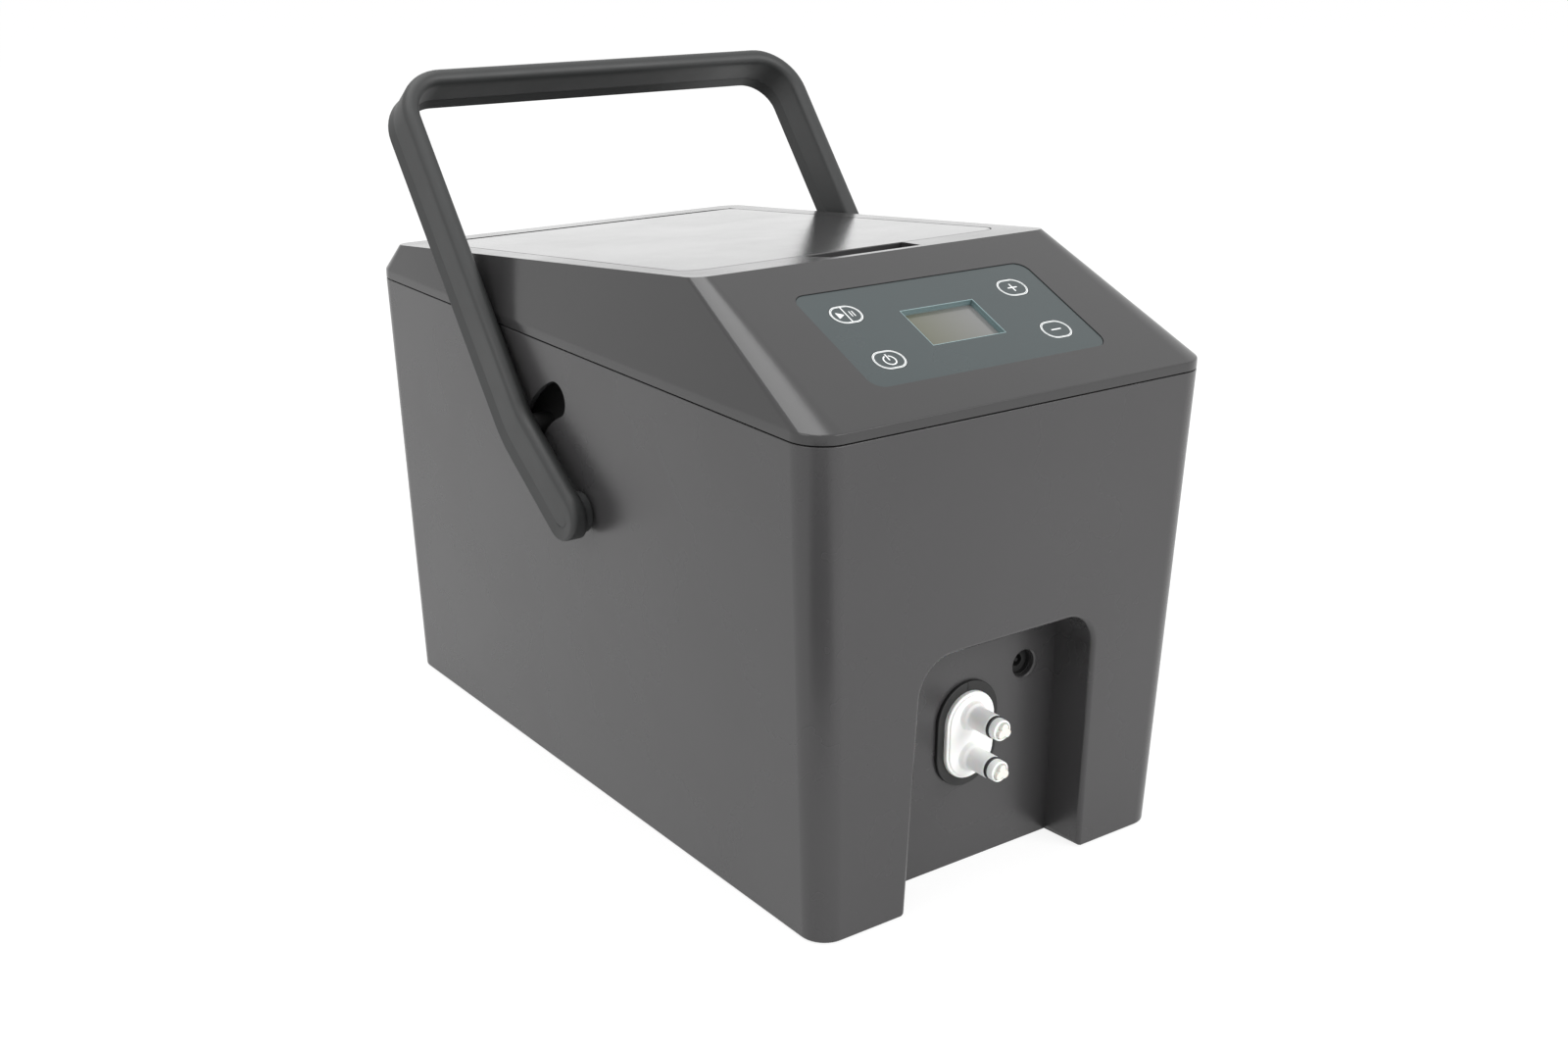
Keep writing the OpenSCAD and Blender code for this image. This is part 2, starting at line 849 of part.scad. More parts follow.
arm_in = handle_hw - arm_t;
bend_y = pivot_y + lower_l * sin(lower_lean);
bend_z = pivot_z + lower_l * cos(lower_lean);
edge_r = 2.6;
rim_w_handle = 7.2;
bend_lap = 1.5;
pin_r = 5;

// Cross-section of arm and crossbar. First axis: inner to outer face. Second: rear to front edge.
module handle_section() {
    h = arm_w / 2;
    polygon([
        [-rim_flare, -h], [arm_t + rim_flare, -h], [arm_t, -h + rim_w_handle], [arm_t, h - edge_r],
        [arm_t - edge_r, h], [edge_r, h], [0, h - edge_r], [0, -h + rim_w_handle]
    ]);
    for (x = [edge_r, arm_t - edge_r])
        translate([x, h - edge_r])
            circle(r = edge_r);
}

// Frame at the pivot or the bend: z along the arm, y to the front edge, x to the outer face
module arm_frame(y, z, lean) {
    translate([arm_in, y, z])
        rotate([-lean, 0, 0])
            children();
}

module arm_half() {
    straight = upper_l - arm_t - grip_r;
    // Lower arm and its round end about the pivot
    arm_frame(pivot_y, pivot_z, lower_lean)
        mirror([0, 1, 0])
            linear_extrude(lower_l + bend_lap)
                handle_section();
    translate([0, pivot_y, pivot_z]) {
        rod_x(arm_in, handle_hw, arm_w / 2 - 0.05);
        rod_x(bush_out + 0.5, arm_in + 1, arm_w / 2 - 1);
    }
    // Upper arm, corner and half of the crossbar
    arm_frame(bend_y, bend_z, upper_lean) {
        translate([0, 0, -bend_lap])
            mirror([0, 1, 0])
                linear_extrude(straight + bend_lap)
                    handle_section();
        translate([-grip_r, 0, straight])
            rotate([90, 0, 0])
                rotate_extrude(angle = 90)
                    translate([grip_r, 0])
                        handle_section();
        translate([-grip_r, 0, straight + grip_r])
            rotate([0, -90, 0])
                linear_extrude(arm_in - grip_r + 1)
                    mirror([0, 1, 0])
                        handle_section();
    }
}

module handle() color(satin_black) {
    difference() {
        both_sides()
            arm_half();
        both_sides()
            translate([0, pivot_y, pivot_z])
                rod_x(bush_out - 1, arm_in + 5, pin_r);
    }
}

peg_angle = 90 - lower_lean;
peg_in = 109;

module stop_pegs() color(satin_black) {
    both_sides()
        translate([0, pivot_y + peg_orbit * cos(peg_angle), pivot_z + peg_orbit * sin(peg_angle)]) {
            rod_x(peg_in, arm_in - 0.5, peg_r);
            rod_x(arm_in - 1, arm_in, peg_r - 1);
        }
}

module pivot_pins() color(steel) {
    both_sides()
        translate([0, pivot_y, pivot_z])
            rod_x(bush_in - 2.4, arm_in + 5, pin_r);
}

module pivot_clips() color(steel) {
    both_sides()
        translate([0, pivot_y, pivot_z])
            difference() {
                rod_x(bush_in - 2, bush_in - 0.5, 8);
                rod_x(bush_in - 3, bush_in, pin_r);
            }
}

module pivot_bushes() color(valve_white) {
    both_sides()
        translate([0, pivot_y, pivot_z])
            difference() {
                rod_x(bush_in, bush_out, bush_r - 0.02);
                rod_x(bush_in - 1, bush_out + 1, pivot_bore);
            }
}

// ---------- coupling ----------

plate_front = 5;
gasket_front = 2;
groove_from = 15;
groove_w = 1.8;
tip_r = 5.3;
flow_r = 3.1;
lobe_r = 2.2;
lobe_out = 2;
clover_r = lobe_r + lobe_out;

// Frame on the niche's back wall at the coupling's middle, y out of the wall
module on_wall() {
    translate([coupling_x, -niche_back_y, coupling_z])
        mirror([0, 1, 0])
            children();
}

module oval(w, l, y0, y1) {
    translate([0, y1, 0])
        rotate([90, 0, 0])
            linear_extrude(y1 - y0)
                stadium(w, l);
}

module nipple_rows() {
    for (z = [-nipple_pitch / 2, nipple_pitch / 2])
        translate([0, 0, z])
            children();
}

module coupling_body() color(valve_white) {
    on_wall()
        difference() {
            union() {
                oval(30, 45, gasket_front, plate_front - 0.8);
                oval(28.4, 43.4, gasket_front, plate_front);
                oval(gasket_w - 12, gasket_l - 12, -wall - 2, gasket_front);
                oval(gasket_w - 4, gasket_l - 4, -wall - 4.5, -wall - 1.8);
                nipple_rows() {
                    rod_y(plate_front - 0.5, plate_front + 2, nipple_r + 2.7, nipple_r + 1.3);
                    rod_y(plate_front, plate_front + 4, nipple_r + 1.3, nipple_r);
                    rod_y(plate_front, plate_front + groove_from, nipple_r);
                    rod_y(plate_front, plate_front + nipple_l, tip_r - 0.5);
                    rod_y(plate_front + groove_from + groove_w, plate_front + nipple_l - 0.8, tip_r);
                    // Hose barbs behind the wall
                    rod_y(-wall - 18, -wall - 3, 3.6);
                    for (i = [0:2])
                        rod_y(-wall - 17 + 4 * i, -wall - 14 + 4 * i, 3.6, 4.3);
                }
            }
            nipple_rows() {
                rod_y(-wall - 19, plate_front + nipple_l - 4, 2.2);
                rod_y(plate_front + nipple_l - 8, plate_front + nipple_l + 1, flow_r);
                rod_y(plate_front + nipple_l - 4, plate_front + nipple_l + 1, clover_r + 0.15);
            }
        }
}

module coupling_gasket() color(rubber_black) {
    on_wall()
        difference() {
            union() {
                oval(gasket_w, gasket_l, 0, gasket_front - 0.6);
                oval(gasket_w - 1.4, gasket_l - 1.4, 0, gasket_front - 0.05);
                oval(gasket_w - 8.2, gasket_l - 8.2, -wall - 1.6, 0.5);
            }
            oval(gasket_w - 11.9, gasket_l - 11.9, -wall - 3, gasket_front + 1);
        }
}

module nipple_o_rings() color(rubber_black) {
    on_wall()
        nipple_rows()
            translate([0, plate_front + groove_from, 0])
                tube_y(0.05, groove_w - 0.05, nipple_r - 0.02, tip_r - 0.5);
}

// Clover-ended valve that a plugged-in hose pushes back
module poppet(z) {
    on_wall()
        translate([0, plate_front + nipple_l, z]) {
            rod_y(-4.4, 0.6, 1.6);
            for (a = [90, 210, 330])
                translate([lobe_out * cos(a), 0, lobe_out * sin(a)])
                    rod_y(-0.6, 1.8, lobe_r);
        }
}

module supply_poppet() color(valve_white) poppet(-nipple_pitch / 2);
module return_poppet() color(valve_white) poppet(nipple_pitch / 2);

module power_jack() color(rubber_black) {
    translate([jack_x, -niche_back_y + wall, jack_z]) {
        difference() {
            union() {
                rod_y(0.2, 3.4, 10);
                rod_y(3.2, 16, 6);
            }
            rod_y(-1, 2.6, 6.4);
            rod_y(-1, 13, 3.2);
        }
        rod_y(2.8, 14, 1);
    }
}

// Ring nut in the collar behind the wall
module jack_nut() color(steel) {
    translate([jack_x, -niche_back_y + wall, jack_z])
        difference() {
            rod_y(3.5, 7, 10.15);
            rod_y(3, 8, 6.1);
            for (a = [45:90:315])
                rotate([0, a, 0])
                    translate([8.6, 5.4, -1])
                        cube([3, 3, 2]);
        }
}

// ---------- pump ----------

pump_y0 = -122;
pump_y1 = -101;
pump_r = 24;
motor_r = 17;
motor_y0 = -166;
shaft_r = 2.5;
outlet_y = -110;
hose_t = 2.4;
hose_r = port_r + hose_t;
supply_hose_r = 6.6;
supply_bore = 4.32;
bend_r = 16;

module pump_housing() color(satin_black) {
    translate([pump_x, 0, pump_z])
        difference() {
            union() {
                rod_y(pump_y0, pump_y1, pump_r);
                rod_y(pump_y1 - 2, pump_y1 + 10, port_r);
                translate([0, outlet_y, supply_z - pump_z])
                    rod_x(-31, -12, 4.3);
                for (a = [30:60:330])
                    rotate([0, a, 0])
                        translate([pump_r + 1, 0, 0])
                            rod_y(pump_y0 + 6, pump_y1, 3);
            }
            rod_y(pump_y0 + 3, pump_y1 - 3, 20.5);
            rod_y(pump_y1 - 4, pump_y1 + 11, port_bore);
            rod_y(pump_y0 - 1, pump_y0 + 4, shaft_r + 0.05);
            translate([0, outlet_y, supply_z - pump_z])
                rod_x(-35, -13, 2.6);
        }
}

module pump_motor() color(steel) {
    translate([pump_x, 0, pump_z])
        difference() {
            union() {
                rod_y(motor_y0, pump_y0 - 0.05, motor_r);
                rod_y(motor_y0 - 3, motor_y0 + 1, 6);
                for (x = [-8, 8])
                    translate([x - 1.5, motor_y0 - 4, 6])
                        cube([3, 5, 0.8]);
            }
            rod_y(pump_y0 - 14, pump_y0, shaft_r + 0.05);
        }
}

// Shaft, disc and six swept vanes
module pump_impeller() color(valve_white) {
    translate([pump_x, 0, pump_z]) {
        rod_y(pump_y0 - 12, pump_y0 + 15, shaft_r);
        rod_y(pump_y0 + 5, pump_y0 + 7, 18);
        rod_y(pump_y0 + 5, pump_y0 + 15, 5);
        for (a = [0:60:300])
            rotate([0, a, 0])
                translate([4, pump_y0 + 6.5, 0])
                    rotate([0, 18, 0])
                        cube([13, 7, 1.6]);
    }
}

module pump_bracket() color(steel) {
    saddle_z = base_z + base_t;
    for (y = [-158, -134])
        difference() {
            translate([pump_x - 24, y, saddle_z])
                cube([48, 6, pump_z - saddle_z - 4]);
            translate([pump_x, y - 1, pump_z])
                rod_y(0, 8, motor_r + 0.05);
            for (x = [-16, 16])
                translate([pump_x + x, y - 1, saddle_z + 12])
                    rod_y(0, 8, 5);
        }
    translate([pump_x - 24, -158, saddle_z])
        cube([48, 30, 2]);
}

module suction_hose() color(rubber_black) {
    translate([pump_x, 0, pump_z])
        tube_y(pump_y1 + 0.3, tank_y0 - 14.3, hose_r, port_r + 0.02);
}

module return_hose() color(rubber_black) {
    translate([coupling_x, 0, return_z])
        difference() {
            union() {
                rod_y(-niche_back_y + wall + 5, -112, supply_hose_r);
                rod_y(-112, -100, supply_hose_r, hose_r);
                rod_y(-100, tank_y0 - 14.3, hose_r);
            }
            rod_y(-niche_back_y + wall + 4, -111.9, supply_bore);
            rod_y(-112, -99.9, supply_bore, port_r);
            rod_y(-100, tank_y0, port_r + 0.02);
        }
}

module supply_hose() color(rubber_black) {
    turn_y = outlet_y - bend_r;
    difference() {
        union() {
            translate([coupling_x, 0, supply_z])
                rod_y(-niche_back_y + wall + 5, turn_y, supply_hose_r);
            translate([coupling_x + bend_r, turn_y, supply_z])
                rotate([0, 0, 90])
                    rotate_extrude(angle = 90)
                        translate([bend_r, 0])
                            circle(r = supply_hose_r);
            translate([0, outlet_y, supply_z])
                rod_x(coupling_x + bend_r, pump_x - 25.2, supply_hose_r);
        }
        translate([coupling_x, 0, supply_z])
            rod_y(-niche_back_y + wall + 4, turn_y, supply_bore);
        translate([coupling_x + bend_r, turn_y, supply_z])
            rotate([0, 0, 90])
                rotate_extrude(angle = 90)
                    translate([bend_r, 0])
                        circle(r = supply_bore);
        translate([0, outlet_y, supply_z])
            rod_x(coupling_x + bend_r, pump_x - 20, supply_bore);
    }
}

// Leads from the jack and the motor up to the control board
module lead(points, r) {
    for (i = [0:len(points) - 2])
        let (step = points[i + 1] - points[i], flat = norm([step[0], step[1]]))
            translate(points[i]) {
                rotate([0, atan2(flat, step[2]), atan2(step[1], step[0])])
                    cylinder(r = r, h = norm(step), $fn = 24);
                sphere(r = r + 0.25, $fn = 24);
            }
}

module wiring() color(rubber_black) {
    board_end = [20, -165, 251.4];
    lead([[jack_x, -156.7, jack_z], [jack_x, -150, jack_z + 12], [jack_x, -150, 190], board_end], 1.8);
    lead([[pump_x + 8, -172.2, pump_z + 6.4], [80, -170, 80], [80, -166, 190], board_end + [12, 0, 0]], 1.6);
}

outer_housing();
base_plate();
base_screws();
feet();
tank_liner();
tank_gasket();
tank_strainer();
insulation();
cover();
cover_screws();
hinge_pins();
access_door();
door_liner();
door_seal();
control_panel();
display_module();
control_board();
board_screws();
play_pause_key();
power_key();
plus_key();
minus_key();
handle();
stop_pegs();
pivot_pins();
pivot_clips();
pivot_bushes();
coupling_body();
coupling_gasket();
nipple_o_rings();
supply_poppet();
return_poppet();
power_jack();
jack_nut();
pump_housing();
pump_motor();
pump_impeller();
pump_bracket();
suction_hose();
supply_hose();
return_hose();
wiring();
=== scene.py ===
import math

import bmesh
import bpy
from mathutils import Matrix, Vector


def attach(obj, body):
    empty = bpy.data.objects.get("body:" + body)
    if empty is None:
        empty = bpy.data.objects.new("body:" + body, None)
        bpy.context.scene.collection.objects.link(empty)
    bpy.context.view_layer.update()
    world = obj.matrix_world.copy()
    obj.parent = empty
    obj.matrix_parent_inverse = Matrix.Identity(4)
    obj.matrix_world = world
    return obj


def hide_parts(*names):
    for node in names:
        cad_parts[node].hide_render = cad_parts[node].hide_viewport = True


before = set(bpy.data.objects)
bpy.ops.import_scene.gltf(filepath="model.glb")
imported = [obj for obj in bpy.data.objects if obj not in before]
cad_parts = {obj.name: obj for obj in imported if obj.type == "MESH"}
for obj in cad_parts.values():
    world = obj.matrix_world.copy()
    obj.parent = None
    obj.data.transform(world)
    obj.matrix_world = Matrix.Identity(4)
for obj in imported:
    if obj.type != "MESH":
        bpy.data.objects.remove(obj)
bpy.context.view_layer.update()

# ---------------------------------------------------------------- camera

CAMERA_AT = Vector((-0.573249, -0.795657, 0.472846))
CAMERA_AZIMUTH = math.radians(-36.668)
CAMERA_ELEVATION = math.radians(19.5)
CAMERA_ROLL = math.radians(0.688)


def add_camera():
    bpy.ops.object.camera_add(location=CAMERA_AT)
    camera = bpy.context.object
    camera.name = "product_camera"
    camera.data.sensor_width = 36.0
    camera.data.lens = 43.780
    camera.data.clip_start = 0.02
    camera.data.clip_end = 60.0
    flat = math.cos(CAMERA_ELEVATION)
    back = Vector(
        (
            math.sin(CAMERA_AZIMUTH) * flat,
            -math.cos(CAMERA_AZIMUTH) * flat,
            math.sin(CAMERA_ELEVATION),
        )
    )
    right = (-back).cross(Vector((0, 0, 1))).normalized()
    up = right.cross(-back)
    turned_right = right * math.cos(CAMERA_ROLL) + up * math.sin(CAMERA_ROLL)
    turned_up = -right * math.sin(CAMERA_ROLL) + up * math.cos(CAMERA_ROLL)
    axes = Matrix((turned_right, turned_up, back)).transposed()
    camera.matrix_world = Matrix.Translation(CAMERA_AT) @ axes.to_4x4()
    bpy.context.scene.camera = camera


# ---------------------------------------------------------------- sizes, in millimetres

# DOOR_FROM, HINGE_S and PANEL_FROM are measured up the top or the slope from its front edge.
RIM_Z, RIM_LOW = 1.5, 0.25
TUB_H = 238.6
SEAM_Z = RIM_Z + TUB_H
COVER_Z = SEAM_Z + 0.6
LIP_Z = SEAM_Z + 5.2
FRONT_Y, BACK_Y = -206.0, 206.0
BODY_HALF, CORNER_R = 120.0, 16.8
SIDE_DRAFT, FRONT_DRAFT, BACK_DRAFT, CORNER_DRAFT = 10.9, 3.7, 5.2, 3.8
RIDGE_Y, RIDGE_Z = -102.4, SEAM_Z + 52.1
BACK_RIDGE_Y, BACK_RIDGE_Z = 189.6, SEAM_Z + 19.9
TOP_TILT = math.atan2(RIDGE_Z - BACK_RIDGE_Z, BACK_RIDGE_Y - RIDGE_Y)
SLOPE = math.atan2(RIDGE_Z - LIP_Z, RIDGE_Y - FRONT_Y)
WALL = 3.0
SCREW_Y = (-150, 85, 180)
DOOR_FROM, DOOR_L = 24.0, 251.0
DOOR_FRONT, DOOR_BACK = 96.8, 100.2
HINGE_S, HINGE_DEPTH = DOOR_FROM + DOOR_L - 4.6, 4.6
PANEL_FROM, PANEL_W, PANEL_H = 22.8, 141.0, 68.2
KEY_X, KEY_W, KEY_H = 50.6, 17.0, 12.8
KEY_LOW, KEY_HIGH = PANEL_FROM + 16.8, PANEL_FROM + 51.0
SCREEN_W, SCREEN_H = 44.4, 26.8
SCREEN_MID = PANEL_FROM + PANEL_H / 2
NICHE_HALF, NICHE_FOOT, NICHE_TOP, NICHE_BACK = 54.2, 57.6, RIM_Z + 127.5, -178.0
NICHE_FOOT_RIGHT, NICHE_CORNER = 55.2, 18.0
COUPLING_X, COUPLING_Z, PITCH = -2.8, 70.7, 21.5
JACK_X, JACK_Z = 34.3, 97.4
PIVOT_Y, PIVOT_Z = -16.0, 160.0
LOWER_LEAN, UPPER_LEAN = math.radians(54.9), math.radians(38.7)
LOWER_L, UPPER_L = 58.8, 203.7
HANDLE_HALF, ARM_T, ARM_W, GRIP_R = 131.0, 9.2, 25.6, 19.0
PEG_ORBIT, SLOT_W, SLOT_FRONT, SLOT_BACK = 57.2, 18.3, 67.0, 15.0

CLOSE = 0.01  # slack for tests of a place
HAIR = 0.002  # smallest step that is merged away

ON_TOP = Matrix.Translation((0, RIDGE_Y, RIDGE_Z)) @ Matrix.Rotation(-TOP_TILT, 4, "X")
ON_SLOPE = Matrix.Translation((0, FRONT_Y, LIP_Z)) @ Matrix.Rotation(SLOPE, 4, "X")
ON_WALL = Matrix.Translation((COUPLING_X, NICHE_BACK, COUPLING_Z)) @ Matrix.Rotation(math.pi / 2, 4, "X")
# On the top and the slope, x is across, y runs up from the front and z points out of the surface.
# On the niche's back wall, x is across, y is up and z comes out of the wall.


# ---------------------------------------------------------------- modelling helpers


def start_clean():
    if bpy.context.object and bpy.context.object.mode != "OBJECT":
        bpy.ops.object.mode_set(mode="OBJECT")
    bpy.ops.object.select_all(action="DESELECT")


def take(piece):
    start_clean()
    bpy.context.view_layer.objects.active = piece
    piece.select_set(True)


def edit(piece):
    take(piece)
    bpy.ops.object.mode_set(mode="EDIT")


def leave_edit(piece):
    bpy.ops.object.mode_set(mode="OBJECT")
    return piece


def pick(kind, test):
    """Selects in edit mode the vertices, edges or faces that pass a test of their place."""
    bpy.ops.mesh.select_mode(type=kind)
    bpy.ops.mesh.select_all(action="DESELECT")
    mesh = bmesh.from_edit_mesh(bpy.context.edit_object.data)
    mesh.normal_update()
    for part in {"VERT": mesh.verts, "EDGE": mesh.edges, "FACE": mesh.faces}[kind]:
        if test(part):
            part.select = True
    mesh.select_flush_mode()
    bmesh.update_edit_mesh(bpy.context.edit_object.data)


def settle(piece):
    take(piece)
    bpy.ops.object.transform_apply(location=True, rotation=True, scale=True)
    return piece


def put(piece, place):
    piece.matrix_world = place
    return settle(piece)


def block(name, low, high):
    start_clean()
    middle = [(a + b) / 2 for a, b in zip(low, high)]
    bpy.ops.mesh.primitive_cube_add(size=1, location=middle, scale=[b - a for a, b in zip(low, high)])
    bpy.context.object.name = name
    return settle(bpy.context.object)


def flat_face(name, width, length, middle):
    """Flat rectangle, sized by its place, because the plane primitive takes no scale."""
    start_clean()
    bpy.ops.mesh.primitive_plane_add(size=1)
    bpy.context.object.name = name
    return put(bpy.context.object, Matrix.Translation(middle) @ Matrix.Diagonal((width, length, 1, 1)))


def drum(name, radius, span, centre, axis, end_radius=None, steps=48):
    """Round bar or cone along an axis, from span[0] to span[1] of that axis."""
    start_clean()
    turn = {"X": (0, math.pi / 2, 0), "Y": (-math.pi / 2, 0, 0), "Z": (0, 0, 0)}[axis]
    place = list(centre)
    place["XYZ".index(axis)] = (span[0] + span[1]) / 2
    bpy.ops.mesh.primitive_cone_add(
        vertices=steps,
        radius1=radius,
        radius2=radius if end_radius is None else end_radius,
        depth=span[1] - span[0],
        location=place,
        rotation=turn,
    )
    bpy.context.object.name = name
    return settle(bpy.context.object)


def turned(name, line, centre=(0, 0), steps=40):
    """Round piece drawn up from a disc through (height, radius) stations."""
    start_clean()
    height, radius = line[0]
    bpy.ops.mesh.primitive_circle_add(
        vertices=steps, radius=radius, fill_type="NGON", location=(centre[0], centre[1], height)
    )
    piece = settle(bpy.context.object)
    piece.name = name
    edit(piece)
    bpy.ops.mesh.select_all(action="SELECT")
    for next_height, next_radius in line[1:]:
        step = (0, 0, next_height - height)
        bpy.ops.mesh.extrude_region_move(TRANSFORM_OT_translate={"value": step})
        ratio = next_radius / radius
        about = (centre[0], centre[1], next_height)
        bpy.ops.transform.resize(value=(ratio, ratio, 1), center_override=about)
        height, radius = next_height, next_radius
    bpy.ops.mesh.select_all(action="SELECT")
    bpy.ops.mesh.normals_make_consistent(inside=False)
    return leave_edit(piece)


def reshape(piece, test, move=None, scale=None, about=(0, 0, 0)):
    """Moves or resizes the vertices that pass a test."""
    edit(piece)
    pick("VERT", test)
    if scale:
        bpy.ops.transform.resize(value=scale, center_override=about)
    if move:
        bpy.ops.transform.translate(value=move)
    return leave_edit(piece)


def slice_at(piece, place, normal):
    edit(piece)
    bpy.ops.mesh.select_all(action="SELECT")
    bpy.ops.mesh.bisect(plane_co=place, plane_no=normal)
    return leave_edit(piece)


def bevel_where(piece, test, radius, steps):
    edit(piece)
    pick("EDGE", test)
    bpy.ops.mesh.bevel(offset=radius, segments=steps, profile=0.5, affect="EDGES")
    return leave_edit(piece)


def soften(piece, rules, steps):
    """Rounds edges to radii that differ: each rule is a test of an edge and its radius."""
    widest = max(radius for test, radius in rules)
    edit(piece)
    for test, radius in rules:
        pick("EDGE", test)
        bpy.ops.transform.edge_bevelweight(value=-1)
        bpy.ops.transform.edge_bevelweight(value=radius / widest)
    leave_edit(piece)
    bpy.ops.object.modifier_add(type="BEVEL")
    step = piece.modifiers[-1]
    step.limit_method, step.width, step.segments = "WEIGHT", widest, steps
    step.use_clamp_overlap = False
    bpy.ops.object.modifier_apply(modifier=step.name)
    return piece


def lies_along(axis, limit=0.98):
    """Test for an edge that runs along an axis."""

    def test(edge):
        step = edge.verts[1].co - edge.verts[0].co
        return step.length > 1e-4 and abs(step.normalized()["XYZ".index(axis)]) > limit

    return test


def level_edge(height, slack=CLOSE):
    """Test for an edge that lies flat at a height."""
    return lambda edge: all(abs(v.co.z - height) < slack for v in edge.verts)


def combine(piece, how, cutters):
    for cutter in cutters:
        take(piece)
        bpy.ops.object.modifier_add(type="BOOLEAN")
        step = piece.modifiers[-1]
        step.operation, step.solver, step.object = how, "EXACT", cutter
        bpy.ops.object.modifier_apply(modifier=step.name)
        bpy.data.objects.remove(cutter)
    return piece


def cut(piece, *cutters):
    return combine(piece, "DIFFERENCE", cutters)


def add_to(piece, *others):
    return combine(piece, "UNION", others)


def keep_inside(piece, *others):
    return combine(piece, "INTERSECT", others)


def join_up(name, pieces):
    take(pieces[0])
    for piece in pieces:
        piece.select_set(True)
    bpy.ops.object.join()
    bpy.context.object.name = name
    return bpy.context.object


def copy_of(piece, name):
    """Copy with a mesh of its own."""
    take(piece)
    bpy.ops.object.duplicate(linked=False)
    bpy.context.object.name = name
    return bpy.context.object


def tidy_mesh(piece, flat_angle=0.4):
    edit(piece)
    bpy.ops.mesh.select_all(action="SELECT")
    bpy.ops.mesh.remove_doubles(threshold=HAIR)
    bpy.ops.mesh.dissolve_limited(angle_limit=math.radians(flat_angle))
    bpy.ops.mesh.normals_make_consistent(inside=False)
    return leave_edit(piece)


def rounded_block(name, low, high, radius, axis="Z", steps=8):
    return bevel_where(block(name, low, high), lies_along(axis), radius, steps)


def pill(name, width, height, low, high, steps=12):
    """Flat bar with round ends between two heights. The rounding stops a hair short and is merged."""
    half_w, half_h = width / 2, height / 2
    radius = min(half_w, half_h) - HAIR
    piece = rounded_block(name, (-half_w, -half_h, low), (half_w, half_h, high), radius, "Z", steps)
    edit(piece)
    bpy.ops.mesh.select_all(action="SELECT")
    bpy.ops.mesh.remove_doubles(threshold=10 * HAIR)
    return leave_edit(piece)


def cushion(name, width, height, low, high, round_by, steps=4):
    """Pill whose upper edge is rounded."""
    return bevel_where(pill(name, width, height, low, high), level_edge(high), round_by, steps)


def finish_piece(piece, material, body, stands_for=(), smooth=32):
    take(piece)
    piece.matrix_world = Matrix.Scale(0.001, 4)
    bpy.ops.object.transform_apply(location=True, rotation=True, scale=True)
    bpy.ops.object.shade_smooth_by_angle(angle=math.radians(smooth))
    bpy.ops.object.modifier_add(type="WEIGHTED_NORMAL")
    piece.modifiers[-1].keep_sharp = True
    bpy.ops.object.modifier_apply(modifier=piece.modifiers[-1].name)
    piece.data.materials.clear()
    piece.data.materials.append(material)
    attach(piece, body)
    if stands_for:
        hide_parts(*stands_for)
    return piece


# ---------------------------------------------------------------- materials


def shader(name, colour, roughness, **more):
    material = bpy.data.materials.new(name)
    material.use_nodes = True
    principled = material.node_tree.nodes["Principled BSDF"]
    principled.inputs["Base Color"].default_value = (*colour, 1)
    principled.inputs["Roughness"].default_value = roughness
    for socket, value in more.items():
        principled.inputs[socket.replace("_", " ")].default_value = value
    return material, principled


def surface_place(material):
    nodes = material.node_tree.nodes
    return nodes.new("ShaderNodeTexCoord").outputs["Object"]


def noise(material, scale, detail=3.0, roughness=0.6):
    tree = material.node_tree
    node = tree.nodes.new("ShaderNodeTexNoise")
    node.inputs["Scale"].default_value = scale
    node.inputs["Detail"].default_value = detail
    node.inputs["Roughness"].default_value = roughness
    tree.links.new(surface_place(material), node.inputs["Vector"])
    return node.outputs["Fac"]


def spread(material, source, low, high, from_low=0.35, from_high=0.65):
    tree = material.node_tree
    node = tree.nodes.new("ShaderNodeMapRange")
    node.inputs["From Min"].default_value = from_low
    node.inputs["From Max"].default_value = from_high
    node.inputs["To Min"].default_value = low
    node.inputs["To Max"].default_value = high
    tree.links.new(source, node.inputs["Value"])
    return node.outputs["Result"]


def tint(material, source, dark, light):
    tree = material.node_tree
    node = tree.nodes.new("ShaderNodeMix")
    node.data_type = "RGBA"
    node.inputs[6].default_value = (*dark, 1)
    node.inputs[7].default_value = (*light, 1)
    tree.links.new(source, node.inputs[0])
    return node.outputs[2]


def grain(material, principled, scale, depth, strength=1.0):
    tree = material.node_tree
    bump = tree.nodes.new("ShaderNodeBump")
    bump.inputs["Strength"].default_value = strength
    bump.inputs["Distance"].default_value = depth
    tree.links.new(noise(material, scale, 2.0), bump.inputs["Height"])
    tree.links.new(bump.outputs["Normal"], principled.inputs["Normal"])


def moulded(name, colour, roughness, vary=0.04, grain_scale=2600.0, grain_depth=0.00003, **more):
    """Moulded plastic: fine grain, slow change of gloss and a little of colour."""
    material, principled = shader(name, colour, roughness, **more)
    tree = material.node_tree
    slow = noise(material, 14.0, 4.0)
    gloss = spread(material, slow, roughness - vary, roughness + vary)
    tree.links.new(gloss, principled.inputs["Roughness"])
    darker = [c * 0.9 for c in colour]
    lighter = [min(c * 1.1, 1) for c in colour]
    tree.links.new(tint(material, noise(material, 9.0), darker, lighter), principled.inputs["Base Color"])
    grain(material, principled, grain_scale, grain_depth)
    return material


